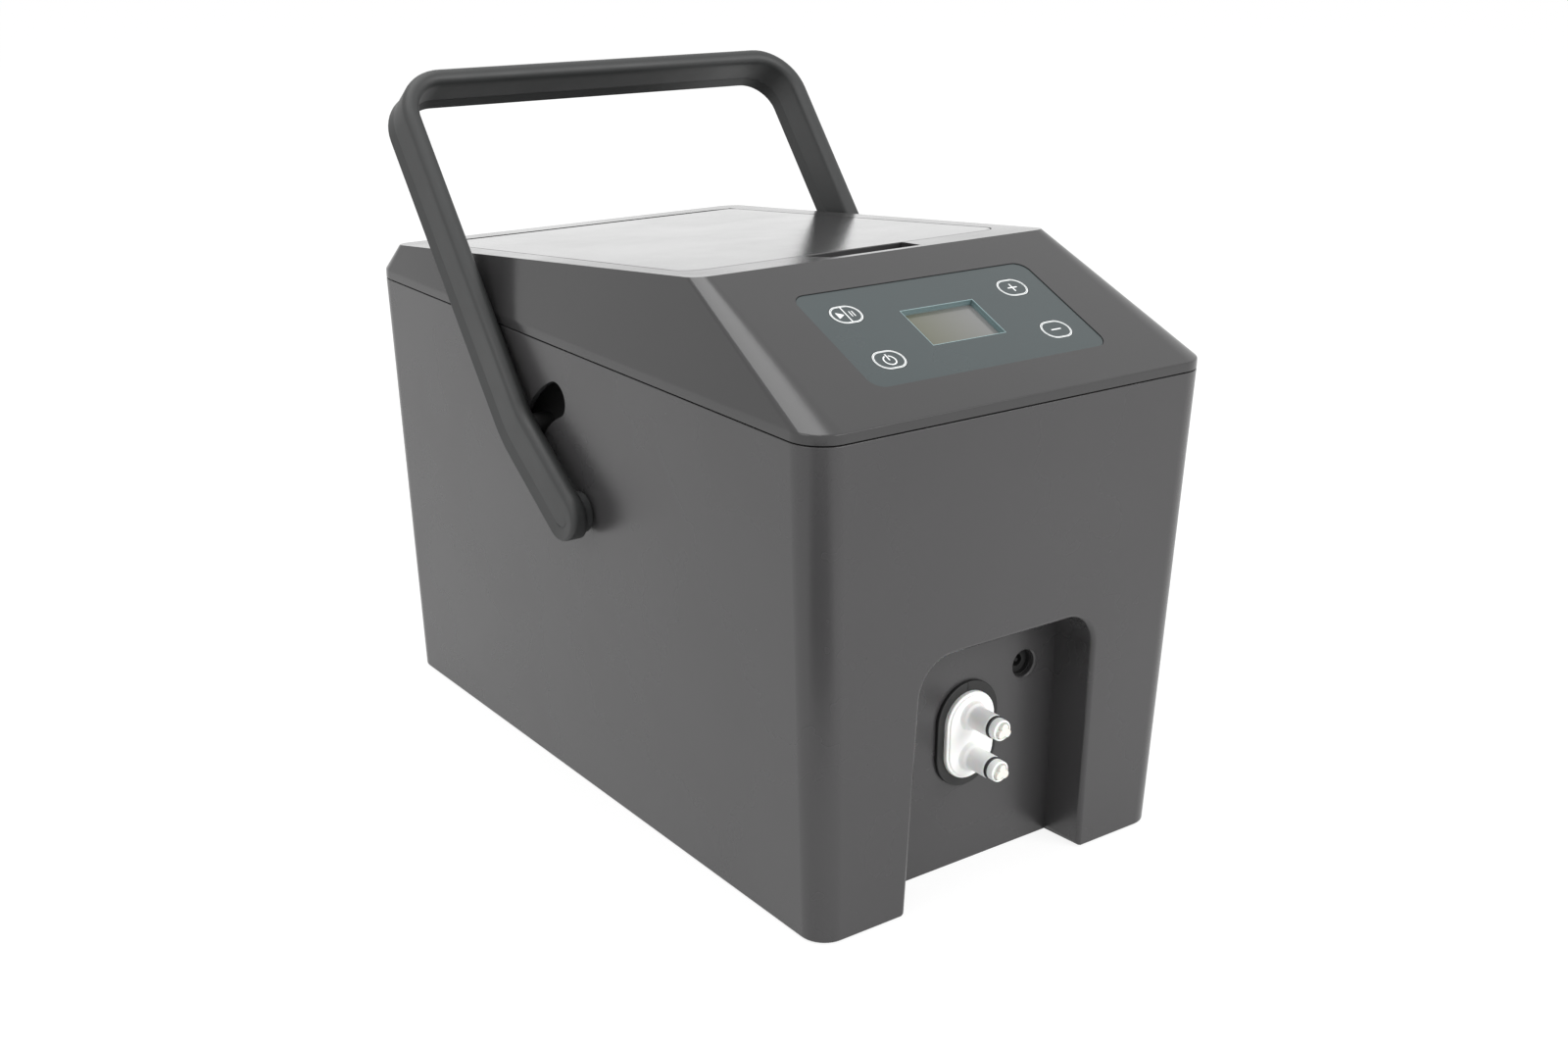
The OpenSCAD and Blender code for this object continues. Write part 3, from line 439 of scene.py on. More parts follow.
body_plastic = moulded("charcoal_body", (0.040, 0.039, 0.040), 0.27, vary=0.03)
cover_plastic = moulded("charcoal_cover", (0.031, 0.0305, 0.031), 0.2, vary=0.03, grain_depth=0.00001)
door_plastic = moulded("charcoal_door", (0.034, 0.0335, 0.034), 0.15, vary=0.02, grain_depth=0.000008)
handle_plastic = moulded("black_handle", (0.021, 0.022, 0.022), 0.5, vary=0.05)
dark_plastic = moulded("black_inner", (0.012, 0.012, 0.012), 0.55)
facia_film = moulded(
    "facia_film", (0.035, 0.047, 0.049), 0.26, vary=0.02, grain_scale=3800.0, grain_depth=0.00001
)
print_white = moulded("white_print", (0.78, 0.8, 0.8), 0.45, vary=0.02)
valve_plastic = moulded(
    "white_valve", (0.93, 0.93, 0.905), 0.34, Subsurface_Weight=0.15, Subsurface_Scale=0.004
)
poppet_plastic = moulded(
    "milky_poppet", (0.68, 0.685, 0.64), 0.3, Subsurface_Weight=0.3, Subsurface_Scale=0.004
)
seal_rubber = moulded("black_rubber", (0.012, 0.012, 0.012), 0.6, vary=0.08, grain_depth=0.00005)
liner_plastic = moulded("pale_liner", (0.5, 0.52, 0.53), 0.4)
foam = moulded("dark_foam", (0.02, 0.02, 0.02), 0.95, grain_scale=900.0, grain_depth=0.0003)
peg_plastic = moulded("black_peg", (0.008, 0.008, 0.008), 0.5)
# Black plastic made darker than the other black parts: the extra darkness is painted shade for the deep hole
# the jack sits in.
jack_black_and_painted_shade = moulded("matt_black_jack_and_painted_shade", (0.006, 0.006, 0.006), 0.75)
pump_plastic = moulded("pump_black", (0.02, 0.02, 0.022), 0.4)
cable_sheath = moulded("cable_sheath", (0.02, 0.02, 0.02), 0.5)
board_mask = moulded("board_mask", (0.012, 0.09, 0.035), 0.35)


def brushed(name, colour, roughness):
    material, principled = shader(name, colour, roughness, Metallic=1.0)
    tree = material.node_tree
    fine = noise(material, 420.0, 4.0)
    tree.links.new(spread(material, fine, roughness - 0.08, roughness + 0.1), principled.inputs["Roughness"])
    grain(material, principled, 900.0, 0.00002)
    return material


steel = brushed("plain_steel", (0.62, 0.62, 0.63), 0.32)


# ---------------------------------------------------------------- tub

CAVITY_FLOOR, LEDGE_TOP, PLATE_TOP = 14.2, 15.4, 5.2
LEDGE_INSET, PLATE_INSET = 12.5, 4.6
PAST_FRONT, BELOW_FLOOR = -230.0, -20.0
TAB_X, TAB_HALF_X, TAB_HALF_Y, TAB_LOW, TAB_HIGH = 111.0, 9.5, 7.0, 224.1, 228.1
PIVOT_BOSS_R, PIVOT_BOSS_FACE, PIVOT_BORE_R = 11.5, 103.5, 8.0
SLOT_INNER, SLOT_OUTER, SLOT_STEPS = 95.0, 135.0, 26
JACK_HOLE_R, JACK_SEAT_R, JACK_NUT_R, JACK_COLLAR_R = 7.0, 8.7, 10.2, 12.6
WINDOW_W, WINDOW_H = 30.0, 47.0
FOOT_ROUND, MOUTH_ROUND, LEG_ROUND, SEAM_ROUND = 1.0, 2.4, 2.6, 0.35


def tub_reach(z, inset):
    """Half width, front, back and corner radius of the tub at a height."""
    drop = 1 - (z - RIM_Z) / TUB_H
    half = BODY_HALF - SIDE_DRAFT * drop - inset
    front = FRONT_Y + FRONT_DRAFT * drop + inset
    back = BACK_Y - BACK_DRAFT * drop - inset
    return half, front, back, max(CORNER_R - CORNER_DRAFT * drop - inset, 1.0)


def tub_block(name, low, high, inset=0.0):
    """Block with the tub's draft and its upright corners, between two heights."""
    half, front, back, corner = tub_reach(high, inset)
    low_half, low_front, low_back, low_corner = tub_reach(low, inset)
    piece = block(name, (-half, front, low), (half, back, high))
    ratio = (low_back - low_front) / (back - front)
    hold = (low_front - ratio * front) / (1 - ratio)
    reshape(piece, lambda v: v.co.z < low + CLOSE, scale=(low_half / half, ratio, 1), about=(0, hold, low))
    bevel_where(piece, lies_along("Z"), corner, 10)
    reach, shrink = corner + 0.1, low_corner / corner
    for x in (-low_half, low_half):
        for y in (low_front, low_back):

            def at_corner(v):
                return v.co.z < low + CLOSE and abs(v.co.x - x) < reach and abs(v.co.y - y) < reach

            reshape(piece, at_corner, scale=(shrink, shrink, 1), about=(x, y, low))
    return piece


def niche_block(name, grow, back):
    """Arched block of the niche, a little wider at its foot."""
    half, top = NICHE_HALF + grow, NICHE_TOP + grow
    piece = block(name, (-half, PAST_FRONT, BELOW_FLOOR), (half, back, top))
    for side, foot in ((-1, NICHE_FOOT), (1, NICHE_FOOT_RIGHT)):
        step = (foot - NICHE_HALF) * (1 - BELOW_FLOOR / NICHE_TOP)

        def at_foot(v):
            return v.co.z < BELOW_FLOOR + CLOSE and v.co.x * side > 0

        reshape(piece, at_foot, move=(side * step, 0, 0))

    def upper_edge(edge):
        return lies_along("Y")(edge) and edge.verts[0].co.z > top - CLOSE

    return bevel_where(piece, upper_edge, NICHE_CORNER + grow, 12)


def pivot_drum(name, radius, side, inner, outer, centre=(0, PIVOT_Y, PIVOT_Z)):
    """Round bar along the handle's axis on one side of the tub."""
    return drum(name, radius, sorted((side * inner, side * outer)), centre, "X")


def slot_cutter(side):
    """Arc slot round the pivot, with round ends."""
    front, back = math.radians(SLOT_FRONT), math.radians(SLOT_BACK)
    ends = []
    for angle in (back, front):
        centre = (0, PIVOT_Y + PEG_ORBIT * math.cos(angle), PIVOT_Z + PEG_ORBIT * math.sin(angle))
        ends.append(pivot_drum("slot_end", SLOT_W / 2, side, SLOT_INNER, SLOT_OUTER, centre))
    middle = (side * (SLOT_INNER + SLOT_OUTER) / 2, PIVOT_Y + PEG_ORBIT, PIVOT_Z)
    slot = flat_face("slot", SLOT_OUTER - SLOT_INNER, SLOT_W, middle)
    edit(slot)
    bpy.ops.mesh.select_all(action="SELECT")
    pivot = (0, PIVOT_Y, PIVOT_Z)
    bpy.ops.transform.rotate(value=-back, orient_axis="X", center_override=pivot)
    bpy.ops.mesh.spin(steps=SLOT_STEPS, angle=back - front, center=pivot, axis=(1, 0, 0))
    bpy.ops.mesh.select_all(action="SELECT")
    bpy.ops.mesh.normals_make_consistent(inside=False)
    leave_edit(slot)
    return [slot] + ends


def jack_drum(name, radius, low, high, end_radius=None):
    """Round bar along the power inlet, between two depths behind the niche's back face."""
    span = (NICHE_BACK + low, NICHE_BACK + high)
    return drum(name, radius, span, (JACK_X, 0, JACK_Z), "Y", end_radius)


def is_corner(edge):
    return len(edge.link_faces) == 2 and edge.calc_face_angle(0) > 1.0


def on_front_face(edge):
    """Edge round the niche's mouth, on the drafted front face."""

    def at_mouth(v):
        across, up = abs(v.co.x) < NICHE_FOOT + 2, v.co.z < NICHE_TOP + 0.1
        return across and up and abs(v.co.y - tub_reach(v.co.z, 0)[1]) < 0.05

    return is_corner(edge) and all(at_mouth(v) for v in edge.verts)


def on_foot_outline(edge):
    """Outer edge of the rim that the tub stands on."""
    if not (is_corner(edge) and level_edge(RIM_LOW)(edge)) or on_niche_foot(edge):
        return False
    middle = (edge.verts[0].co + edge.verts[1].co) / 2
    return any(abs(f.normal.z) < 0.3 and f.normal.dot(middle) > 0 for f in edge.link_faces)


def on_niche_foot(edge):
    """Lower edge of the niche's sides or back."""
    front, back = tub_reach(RIM_LOW, 0)[1] - 0.1, NICHE_BACK + 0.5
    return level_edge(RIM_LOW)(edge) and all(
        abs(v.co.x) < NICHE_FOOT + 1 and front < v.co.y < back for v in edge.verts
    )


def on_leg_side(edge):
    return is_corner(edge) and on_niche_foot(edge) and lies_along("Y")(edge)


def on_seam(edge):
    return is_corner(edge) and level_edge(SEAM_Z)(edge)


def make_cavity():
    """Everything that hollows the tub, less the walls and bosses that stand in it."""
    cavity = tub_block("cavity", CAVITY_FLOOR, SEAM_Z + 2, WALL)
    add_to(cavity, tub_block("ledge_opening", -2, LEDGE_TOP, LEDGE_INSET))
    add_to(cavity, tub_block("plate_recess", -3, PLATE_TOP, PLATE_INSET))
    cut(cavity, niche_block("niche_shell", WALL, NICHE_BACK + WALL))
    for side in (-1, 1):
        cut(cavity, pivot_drum("pivot_boss", PIVOT_BOSS_R, side, PIVOT_BOSS_FACE, 125))
        for y in SCREW_Y:
            low = (side * TAB_X - TAB_HALF_X, y - TAB_HALF_Y, TAB_LOW)
            high = (side * TAB_X + TAB_HALF_X, y + TAB_HALF_Y, TAB_HIGH)
            cut(cavity, block("screw_tab", low, high))
    return cut(cavity, jack_drum("jack_collar", JACK_COLLAR_R, -2, 11))


def make_housing():
    """The tub is hollowed and opened first, and its edges are rounded last."""
    housing = tub_block("housing_shell", RIM_LOW, SEAM_Z)
    cut(housing, make_cavity(), niche_block("niche", 0, NICHE_BACK))
    for side in (-1, 1):
        cut(housing, *slot_cutter(side))
        cut(housing, pivot_drum("pivot_bore", PIVOT_BORE_R, side, 100, 130))
    cut(housing, jack_drum("jack_hole", JACK_HOLE_R, -4, 6))
    cut(housing, jack_drum("jack_seat", JACK_SEAT_R, -1, 0.14))
    cut(housing, jack_drum("jack_rim", JACK_HOLE_R + 0.7, 0.1, 0.8, JACK_HOLE_R))
    cut(housing, jack_drum("nut_bore", JACK_NUT_R, WALL, 18))
    window = pill("coupling_window", WINDOW_W, WINDOW_H, -5, 5)
    cut(housing, put(window, ON_WALL))
    tidy_mesh(housing)
    rounds = [(on_foot_outline, FOOT_ROUND), (on_front_face, MOUTH_ROUND)]
    rounds += [(on_leg_side, LEG_ROUND), (on_seam, SEAM_ROUND)]
    soften(housing, rounds, 4)
    return finish_piece(housing, body_plastic, "machine", ["outer_housing"])


# ---------------------------------------------------------------- cover

COVER_DRAFT = 0.254
RIDGE_CORNER, BACK_CORNER = 9.0, 11.0
LIP_ROUND, SEAM_BREAK = 0.7, 0.3
DOOR_CORNER, DOOR_GAP, DOOR_SEAT = 12.0, 0.6, 7.2
DOOR_LEDGE, DOOR_LEDGE_DEPTH = 4.0, 12.2
MOUTH_HALF, MOUTH_CORNER = 88.0, 10.0
PANEL_CORNER, PANEL_SEAT, PANEL_LAP = 7.0, 2.2, 5.0
FRAME_HALF, FRAME_DEPTH, PANEL_HOLE_HALF = 75.5, 5.4, 62.0
HINGE_BOSS_R, HINGE_GROOVE_R, POST_R, POST_X = 4.4, 5.6, 4.0, 109.5
SCOOP_HALF, SCOOP_FROM, SCOOP_TO, SCOOP_RIM = 27.5, 5.0, 25.5, 0.3
SCOOP_STATIONS = ((14.0, 29.2, 2.4), (21.0, 30.0, 6.0), (SCOOP_TO, 30.0, 8.0))  # place, half width, depth


def cover_half(z):
    return BODY_HALF - COVER_DRAFT * max(z - LIP_Z, 0)


def add_ring(radius, place, steps, tilt=0.0):
    bpy.ops.mesh.primitive_circle_add(vertices=steps, radius=radius, location=place, rotation=(tilt, 0, 0))


def cover_form(name, inset, bottom, steps=64):
    """Convex wedge over rings at the lip's, the ridge's and the back edge's round corners."""
    corner, ridge_r = CORNER_R - inset, RIDGE_CORNER - inset * 0.5
    back_r = BACK_CORNER - inset * 0.5
    start_clean()
    add_ring(corner, (0, 0, bottom + 1), steps)
    piece = bpy.context.object
    piece.name = name
    bpy.ops.object.mode_set(mode="EDIT")
    for side in (-1, 1):
        for y in (FRONT_Y + inset + corner, BACK_Y - inset - corner):
            for z in (bottom, LIP_Z - inset * 0.4):
                add_ring(corner, (side * (BODY_HALF - inset - corner), y, z), steps)
        ridge = (
            side * (cover_half(RIDGE_Z) - inset - ridge_r),
            RIDGE_Y + inset * 0.4 + ridge_r * math.cos(TOP_TILT),
            RIDGE_Z - inset - ridge_r * math.sin(TOP_TILT),
        )
        back = (
            side * (cover_half(BACK_RIDGE_Z) - inset - back_r),
            BACK_RIDGE_Y - inset * 0.6 - back_r * math.cos(TOP_TILT),
            BACK_RIDGE_Z - inset + back_r * math.sin(TOP_TILT),
        )
        add_ring(ridge_r, ridge, steps, -TOP_TILT)
        add_ring(back_r, back, steps, -TOP_TILT)
    bpy.ops.mesh.select_all(action="SELECT")
    bpy.ops.mesh.convex_hull(join_triangles=True)
    bpy.ops.mesh.select_all(action="SELECT")
    bpy.ops.mesh.dissolve_limited(angle_limit=math.radians(0.3))
    bpy.ops.mesh.normals_make_consistent(inside=False)
    bpy.ops.object.mode_set(mode="OBJECT")
    return settle(piece)


def door_block(name, grow, low, high):
    """Door's outline with rounded corners, narrower at its front, between two depths."""
    back_half, front = DOOR_BACK + grow, DOOR_FROM - grow
    piece = block(name, (-back_half, front, low), (back_half, DOOR_FROM + DOOR_L + grow, high))
    ratio = (DOOR_FRONT + grow) / back_half
    reshape(piece, lambda v: v.co.y < front + CLOSE, scale=(ratio, 1, 1))
    return bevel_where(piece, lies_along("Z"), DOOR_CORNER + grow, 12)


def hinge_drum(name, radius, low, high):
    """Round bar on the door's hinge line."""
    return drum(name, radius, (low, high), (0, HINGE_S, -HINGE_DEPTH), "X")


def mouth_block(name, grow, low, high):
    """Upright block of the opening over the tank."""
    front = RIDGE_Y + (DOOR_FROM + 9) * math.cos(TOP_TILT) - grow
    back = RIDGE_Y + (HINGE_S - 12) * math.cos(TOP_TILT) + grow
    half = MOUTH_HALF + grow
    return rounded_block(name, (-half, front, low), (half, back, high), MOUTH_CORNER + grow)


def panel_block(name, grow, low, high):
    half = PANEL_W / 2 + grow
    corner = (half, PANEL_FROM + PANEL_H + grow, high)
    return rounded_block(name, (-half, PANEL_FROM - grow, low), corner, PANEL_CORNER + grow)


def slope_block(name, half, grow, low, high):
    """Plain block about the facia's place, in the slope's frame."""
    corner = (half, PANEL_FROM + PANEL_H + grow, high)
    return put(block(name, (-half, PANEL_FROM - grow, low), corner), ON_SLOPE)


def scoop_cutter():
    """Finger scoop that deepens towards the door's front edge."""
    scoop = block("scoop", (-SCOOP_HALF, SCOOP_FROM, -SCOOP_RIM), (SCOOP_HALF, SCOOP_TO, 3))
    for y, half, depth in SCOOP_STATIONS:
        if y < SCOOP_TO:
            slice_at(scoop, (0, y, 0), (0, 1, 0))

        def at_station(v):
            return abs(v.co.y - y) < CLOSE

        def on_floor(v):
            return at_station(v) and v.co.z < 0

        reshape(scoop, at_station, scale=(half / SCOOP_HALF, 1, 1), about=(0, y, 0))
        reshape(scoop, on_floor, move=(0, 0, SCOOP_RIM - depth))
    return put(scoop, ON_TOP)


def make_cover_inside():
    """Room under the cover, less the skirt, ledge, frame, bosses and posts that hang in it."""
    inside = cover_form("inside", WALL, SEAM_Z - 1, 32)
    cut(inside, mouth_block("skirt", WALL, SEAM_Z - 4, 320))
    half = DOOR_BACK + DOOR_LEDGE
    low = (-half, 3, -DOOR_LEDGE_DEPTH)
    high = (half, DOOR_FROM + DOOR_L + DOOR_LEDGE, 6)
    cut(inside, put(rounded_block("ledge", low, high, DOOR_CORNER), ON_TOP))
    cut(inside, slope_block("frame", FRAME_HALF, PANEL_LAP, -FRAME_DEPTH, 8))
    for side in (-1, 1):
        boss = hinge_drum("hinge_boss", HINGE_BOSS_R, *sorted((side * 100.9, side * 116)))
        cut(inside, put(boss, ON_TOP))
        for y in SCREW_Y:
            cut(inside, drum("post", POST_R, (230, 300), (side * POST_X, y, 0), "Z"))
    return inside


def make_cover():
    """Wedge shell over the tub, with its seats for the door, the facia and the fingers."""
    cover = cover_form("cover_shell", 0, COVER_Z)
    bevel_where(cover, level_edge(LIP_Z, 0.02), LIP_ROUND, 2)
    bevel_where(cover, level_edge(COVER_Z, 0.02), SEAM_BREAK, 2)
    cut(cover, make_cover_inside())
    cut(cover, mouth_block("mouth", 0, SEAM_Z - 5, 330))
    cut(cover, put(door_block("door_seat", DOOR_GAP, -DOOR_SEAT, 6), ON_TOP))
    reach = DOOR_BACK + DOOR_GAP
    cut(cover, put(hinge_drum("groove", HINGE_GROOVE_R, -reach, reach), ON_TOP))
    cut(cover, scoop_cutter())
    cut(cover, put(panel_block("panel_seat", 0.25, -PANEL_SEAT, 6), ON_SLOPE))
    cut(cover, slope_block("panel_hole", PANEL_HOLE_HALF, -PANEL_LAP, -14, 1))
    tidy_mesh(cover, 0.2)
    return finish_piece(cover, cover_plastic, "machine", ["cover"], 24)


# ---------------------------------------------------------------- door

DOOR_T, DOOR_ROUND = 4.2, 0.45
BARREL_R, PIN_BORE_R = 4.58, 2.05


def make_door():
    """Inset panel with its hinge barrel along the rear edge."""
    door = door_block("door_panel", 0, -DOOR_T, 0)
    bevel_where(door, level_edge(0), DOOR_ROUND, 3)
    cut(door, block("rear_trim", (-BODY_HALF, HINGE_S, -10), (BODY_HALF, HINGE_S + 20, 4)))
    barrel = hinge_drum("barrel", BARREL_R, -DOOR_BACK, DOOR_BACK)
    keep_inside(barrel, door_block("barrel_trim", 0, -20, 10))
    add_to(door, barrel)
    for side in (-1, 1):
        cut(door, hinge_drum("pin_bore", PIN_BORE_R, *sorted((side * 94, side * 104))))
    tidy_mesh(door)
    put(door, ON_TOP)
    return finish_piece(door, door_plastic, "door", ["access_door"])


# ---------------------------------------------------------------- console

FACIA_SUNK, KEY_GAP = 0.4, 0.5
MARK_LOW, MARK_HIGH = -0.1, 0.05
KEY_GROOVE = ((0.32, -0.4), (0.18, 0.4))  # inset and step of the groove's two sides
# Painted highlights: light strips along the display window's edge and step, standing in for the glint on
# them.
PAINTED_HIGHLIGHT_LINES = ((0.03, 0.33, -0.9, 0.04), (0.42, 0.72, -2.0, -1.85))  # outside, inside, low, high


def window_block(name, shrink, low, high):
    half, tall = SCREEN_W / 2 - shrink, SCREEN_H / 2 - shrink
    return block(name, (-half, SCREEN_MID - tall, low), (half, SCREEN_MID + tall, high))


def make_facia():
    facia = panel_block("facia", 0.08, -2, -FACIA_SUNK)
    bevel_where(facia, level_edge(-FACIA_SUNK), 0.12, 2)
    for x in (-KEY_X, KEY_X):
        for y in (KEY_LOW, KEY_HIGH):
            hole = pill("key_hole", KEY_W + KEY_GAP, KEY_H + KEY_GAP, -3, 1)
            cut(facia, put(hole, Matrix.Translation((x, y, 0))))
    cut(facia, window_block("window", 0, -3, 1))
    tidy_mesh(facia)
    put(facia, ON_SLOPE)
    return finish_piece(facia, facia_film, "machine", ["control_panel"])


def ring_of(name, outside, inside, low, high):
    """Band between two pills that lie this far inside the key's outline."""
    ring = pill(name, KEY_W - outside, KEY_H - outside, low, high)
    return cut(ring, pill("hollow", KEY_W - inside, KEY_H - inside, low - 1, high + 1))


def stroke(low, high):
    """Thin printed bar between two corners."""
    return block("stroke", (*low, MARK_LOW), (*high, MARK_HIGH))


def mark_play_pause():
    play = drum("play", 2.6, (MARK_LOW, MARK_HIGH), (0, 0, 0), "Z", steps=3)
    put(play, Matrix.Rotation(-math.pi / 2, 4, "Z"))
    put(play, Matrix.Translation((-3.7, 0, 0)))
    pauses = [stroke((x, -1.9), (x + 0.5, 1.9)) for x in (2.3, 3.9)]
    return join_up("mark", [play, stroke((-0.28, -5.4), (0.28, 5.4))] + pauses)


def mark_power():
    middle = (0, -0.4, 0)
    ring = drum("ring", 3.4, (MARK_LOW, MARK_HIGH), middle, "Z")
    cut(ring, drum("hollow", 2.75, (-1, 1), middle, "Z"), block("gap", (-1.0, 0.6, -1), (1.0, 5, 1)))
    return join_up("mark", [ring, stroke((-0.32, -0.4), (0.32, 3.9))])


def mark_plus():
    return add_to(stroke((-0.36, -2.9), (0.36, 2.9)), stroke((-2.9, -0.36), (2.9, 0.36)))


def mark_minus():
    return stroke((-3.0, -0.36), (3.0, 0.36))


def key_cap():
    """Oval cap with a fine groove, a collar under the facia and a stem down to its switch."""
    cap = cushion("cap", KEY_W, KEY_H, -2.6, 0, 0.15, 2)
    edit(cap)
    pick("FACE", lambda f: f.normal.z > 0.99)
    for inset, step in KEY_GROOVE:
        bpy.ops.mesh.inset(thickness=inset)
        bpy.ops.mesh.extrude_region_move(TRANSFORM_OT_translate={"value": (0, 0, step)})
    leave_edit(cap)
    collar = pill("collar", KEY_W + 3, KEY_H + 3, -3.4, -2.1)
    return add_to(cap, collar, drum("stem", 3.0, (-7.3, -2.5), (0, 0, 0), "Z", steps=32))


def make_keys():
    """One cap and its two printed lines are modelled and copied, and each key gets its own symbol."""
    cap = key_cap()
    outer = ring_of("outer_line", 0.16, 0.9, -0.1, 0.04)
    lines = join_up("lines", [outer, ring_of("inner_line", 1.4, 2.1, -0.1, 0.04)])
    keys = (
        ("play_pause", -KEY_X, KEY_HIGH, mark_play_pause),
        ("power", -KEY_X, KEY_LOW, mark_power),
        ("plus", KEY_X, KEY_HIGH, mark_plus),
        ("minus", KEY_X, KEY_LOW, mark_minus),
    )
    for name, x, y, mark in keys:
        place = ON_SLOPE @ Matrix.Translation((x, y, -FACIA_SUNK))
        key = put(copy_of(cap, name + "_cap"), place)
        finish_piece(key, facia_film, name, [name + "_key"])
        oval = put(copy_of(lines, name + "_lines"), place)
        finish_piece(oval, print_white, name, ())
        symbol = mark()
        symbol.name = name + "_mark"
        finish_piece(put(symbol, place), print_white, name, ())
    for spare in (cap, lines):
        bpy.data.objects.remove(spare)


def make_display():
    """Glass in its dark body, the window's bright walls and the two painted highlight lines round it."""
    glass = window_block("display_glass", 0.3, -4.2, -3.0)
    bevel_where(glass, level_edge(-3.0), 0.3, 2)
    back = block("display_body", (-27.2, SCREEN_MID - 18.4, -8.45), (27.2, SCREEN_MID + 18.4, -2.05))
    bevel_where(back, lies_along("Z"), 1.5, 4)
    cut(back, window_block("well", 0.2, -3.9, 0))
    finish_piece(put(glass, ON_SLOPE), lcd_glass, "machine", ())
    finish_piece(put(back, ON_SLOPE), dark_plastic, "machine", ["display_module"])
    walls = window_block("window_frame", 0.02, -3.4, -FACIA_SUNK - 0.05)
    cut(walls, window_block("upper_step", 0.4, -1.9, 1), window_block("lower_step", 0.85, -4, 1))
    finish_piece(put(walls, ON_SLOPE), rim_glass, "machine", ())
    # the two lines are painted highlights along the window's edges
    lines = []
    for outside, inside, low, high in PAINTED_HIGHLIGHT_LINES:
        line = window_block("line", outside, low - FACIA_SUNK, high - FACIA_SUNK)
        lines.append(cut(line, window_block("hollow", inside, -5, 2)))
    finish_piece(put(join_up("window_highlight_strips", lines), ON_SLOPE), painted_edge_highlight, "machine", ())


def lcd_material():
    """Reflective liquid crystal: olive at the lower left, greyer at the upper right, where the grey is a
    painted reflection.
    """
    material, principled = shader("lcd_glass", (0.2, 0.2, 0.18), 0.14, Coat_Weight=0.5, Coat_Roughness=0.05)
    tree = material.node_tree
    place = tree.nodes.new("ShaderNodeSeparateXYZ")
    tree.links.new(surface_place(material), place.inputs["Vector"])
    across = spread(material, place.outputs["X"], 0, 1, -0.022, 0.022)
    # painted reflection: the base colour runs from the crystal's own olive to a reflected grey across the
    # screen
    crystal_and_painted_reflection = tint(material, across, (0.080, 0.082, 0.048), (0.140, 0.141, 0.140))
    tree.links.new(crystal_and_painted_reflection, principled.inputs["Base Color"])
    grain(material, principled, 5200.0, 0.000004)
    return material


lcd_glass = lcd_material()
rim_glass = moulded("window_edge", (0.12, 0.175, 0.18), 0.2, vary=0.02, grain_depth=0.000005)
# painted highlight: a lit copy of the window wall's colour, for the strips along the window's edges
painted_edge_highlight = moulded("window_edge_painted_highlight", (0.24, 0.33, 0.34), 0.2, vary=0.02, grain_depth=0.000005)


# ---------------------------------------------------------------- handle

RIM_BAND, STEP_LINE = 7.2, 6.9
HALF_W = ARM_W / 2
FLARE, STEP_OUT = 0.95, -0.4
FRONT_ROUND, REAR_ROUND = 4.3, 0.6
END_STEPS, RIM_STEPS, BEND_R = 24, 12, 55.0
HANDLE_BOSS_R, HANDLE_BOSS_IN, HANDLE_BOSS_OUT = 10.4, 118.1, 122.6


def arm_place(y, z, lean):
    return Matrix.Translation((0, y, z)) @ Matrix.Rotation(-lean, 4, "X")


def bar_section(name, front, rear):
    """Flat face across the bar, with the lines where the flared rim band starts."""
    middle = (HANDLE_HALF - ARM_T / 2, (front + rear) / 2, 0)
    piece = flat_face(name, ARM_T, rear - front, middle)
    for line in (RIM_BAND, STEP_LINE):
        for y in (-HALF_W + line, HALF_W - line):
            if front < y < rear:
                slice_at(piece, (0, y, 0), (0, 1, 0))
    return piece


def widen(piece, test, by):
    """Spreads both faces of the bar by the same amount."""
    middle = (HANDLE_HALF - ARM_T / 2, 0, 0)
    return reshape(piece, test, scale=((ARM_T + 2 * by) / ARM_T, 1, 1), about=middle)


def draw_on(step):
    bpy.ops.mesh.extrude_region_move(TRANSFORM_OT_translate={"value": step})


def swing_on(angle, centre, axis, steps):
    bpy.ops.mesh.spin(steps=steps, angle=-angle, center=centre, axis=axis)


def make_bar():
    """Half of the bail, upright in the lower arm's frame, from its pivot to the crossbar's middle."""
    bar = bar_section("handle_bar", -HALF_W, HALF_W)
    slice_at(bar, (0, 0, 0), (0, 1, 0))
    widen(bar, lambda v: abs(v.co.y - HALF_W) < CLOSE, FLARE)
    widen(bar, lambda v: abs(v.co.y - HALF_W + STEP_LINE) < CLOSE, STEP_OUT)
    turn = LOWER_LEAN - UPPER_LEAN
    cut_back = BEND_R * math.tan(turn / 2)
    up, side = Vector((0, -math.sin(turn), math.cos(turn))), Vector((0, math.cos(turn), math.sin(turn)))
    straight = UPPER_L - ARM_T - GRIP_R
    corner = Vector((0, 0, LOWER_L)) + up * straight
    corner.x = HANDLE_HALF - ARM_T - GRIP_R
    edit(bar)
    bpy.ops.mesh.select_all(action="SELECT")
    draw_on((0, 0, LOWER_L - cut_back))
    swing_on(turn, (0, -BEND_R, LOWER_L - cut_back), (1, 0, 0), 8)
    draw_on(up * (straight - cut_back))
    swing_on(math.pi / 2, corner, -side, 14)
    draw_on((-corner.x, 0, 0))
    return leave_edit(bar)


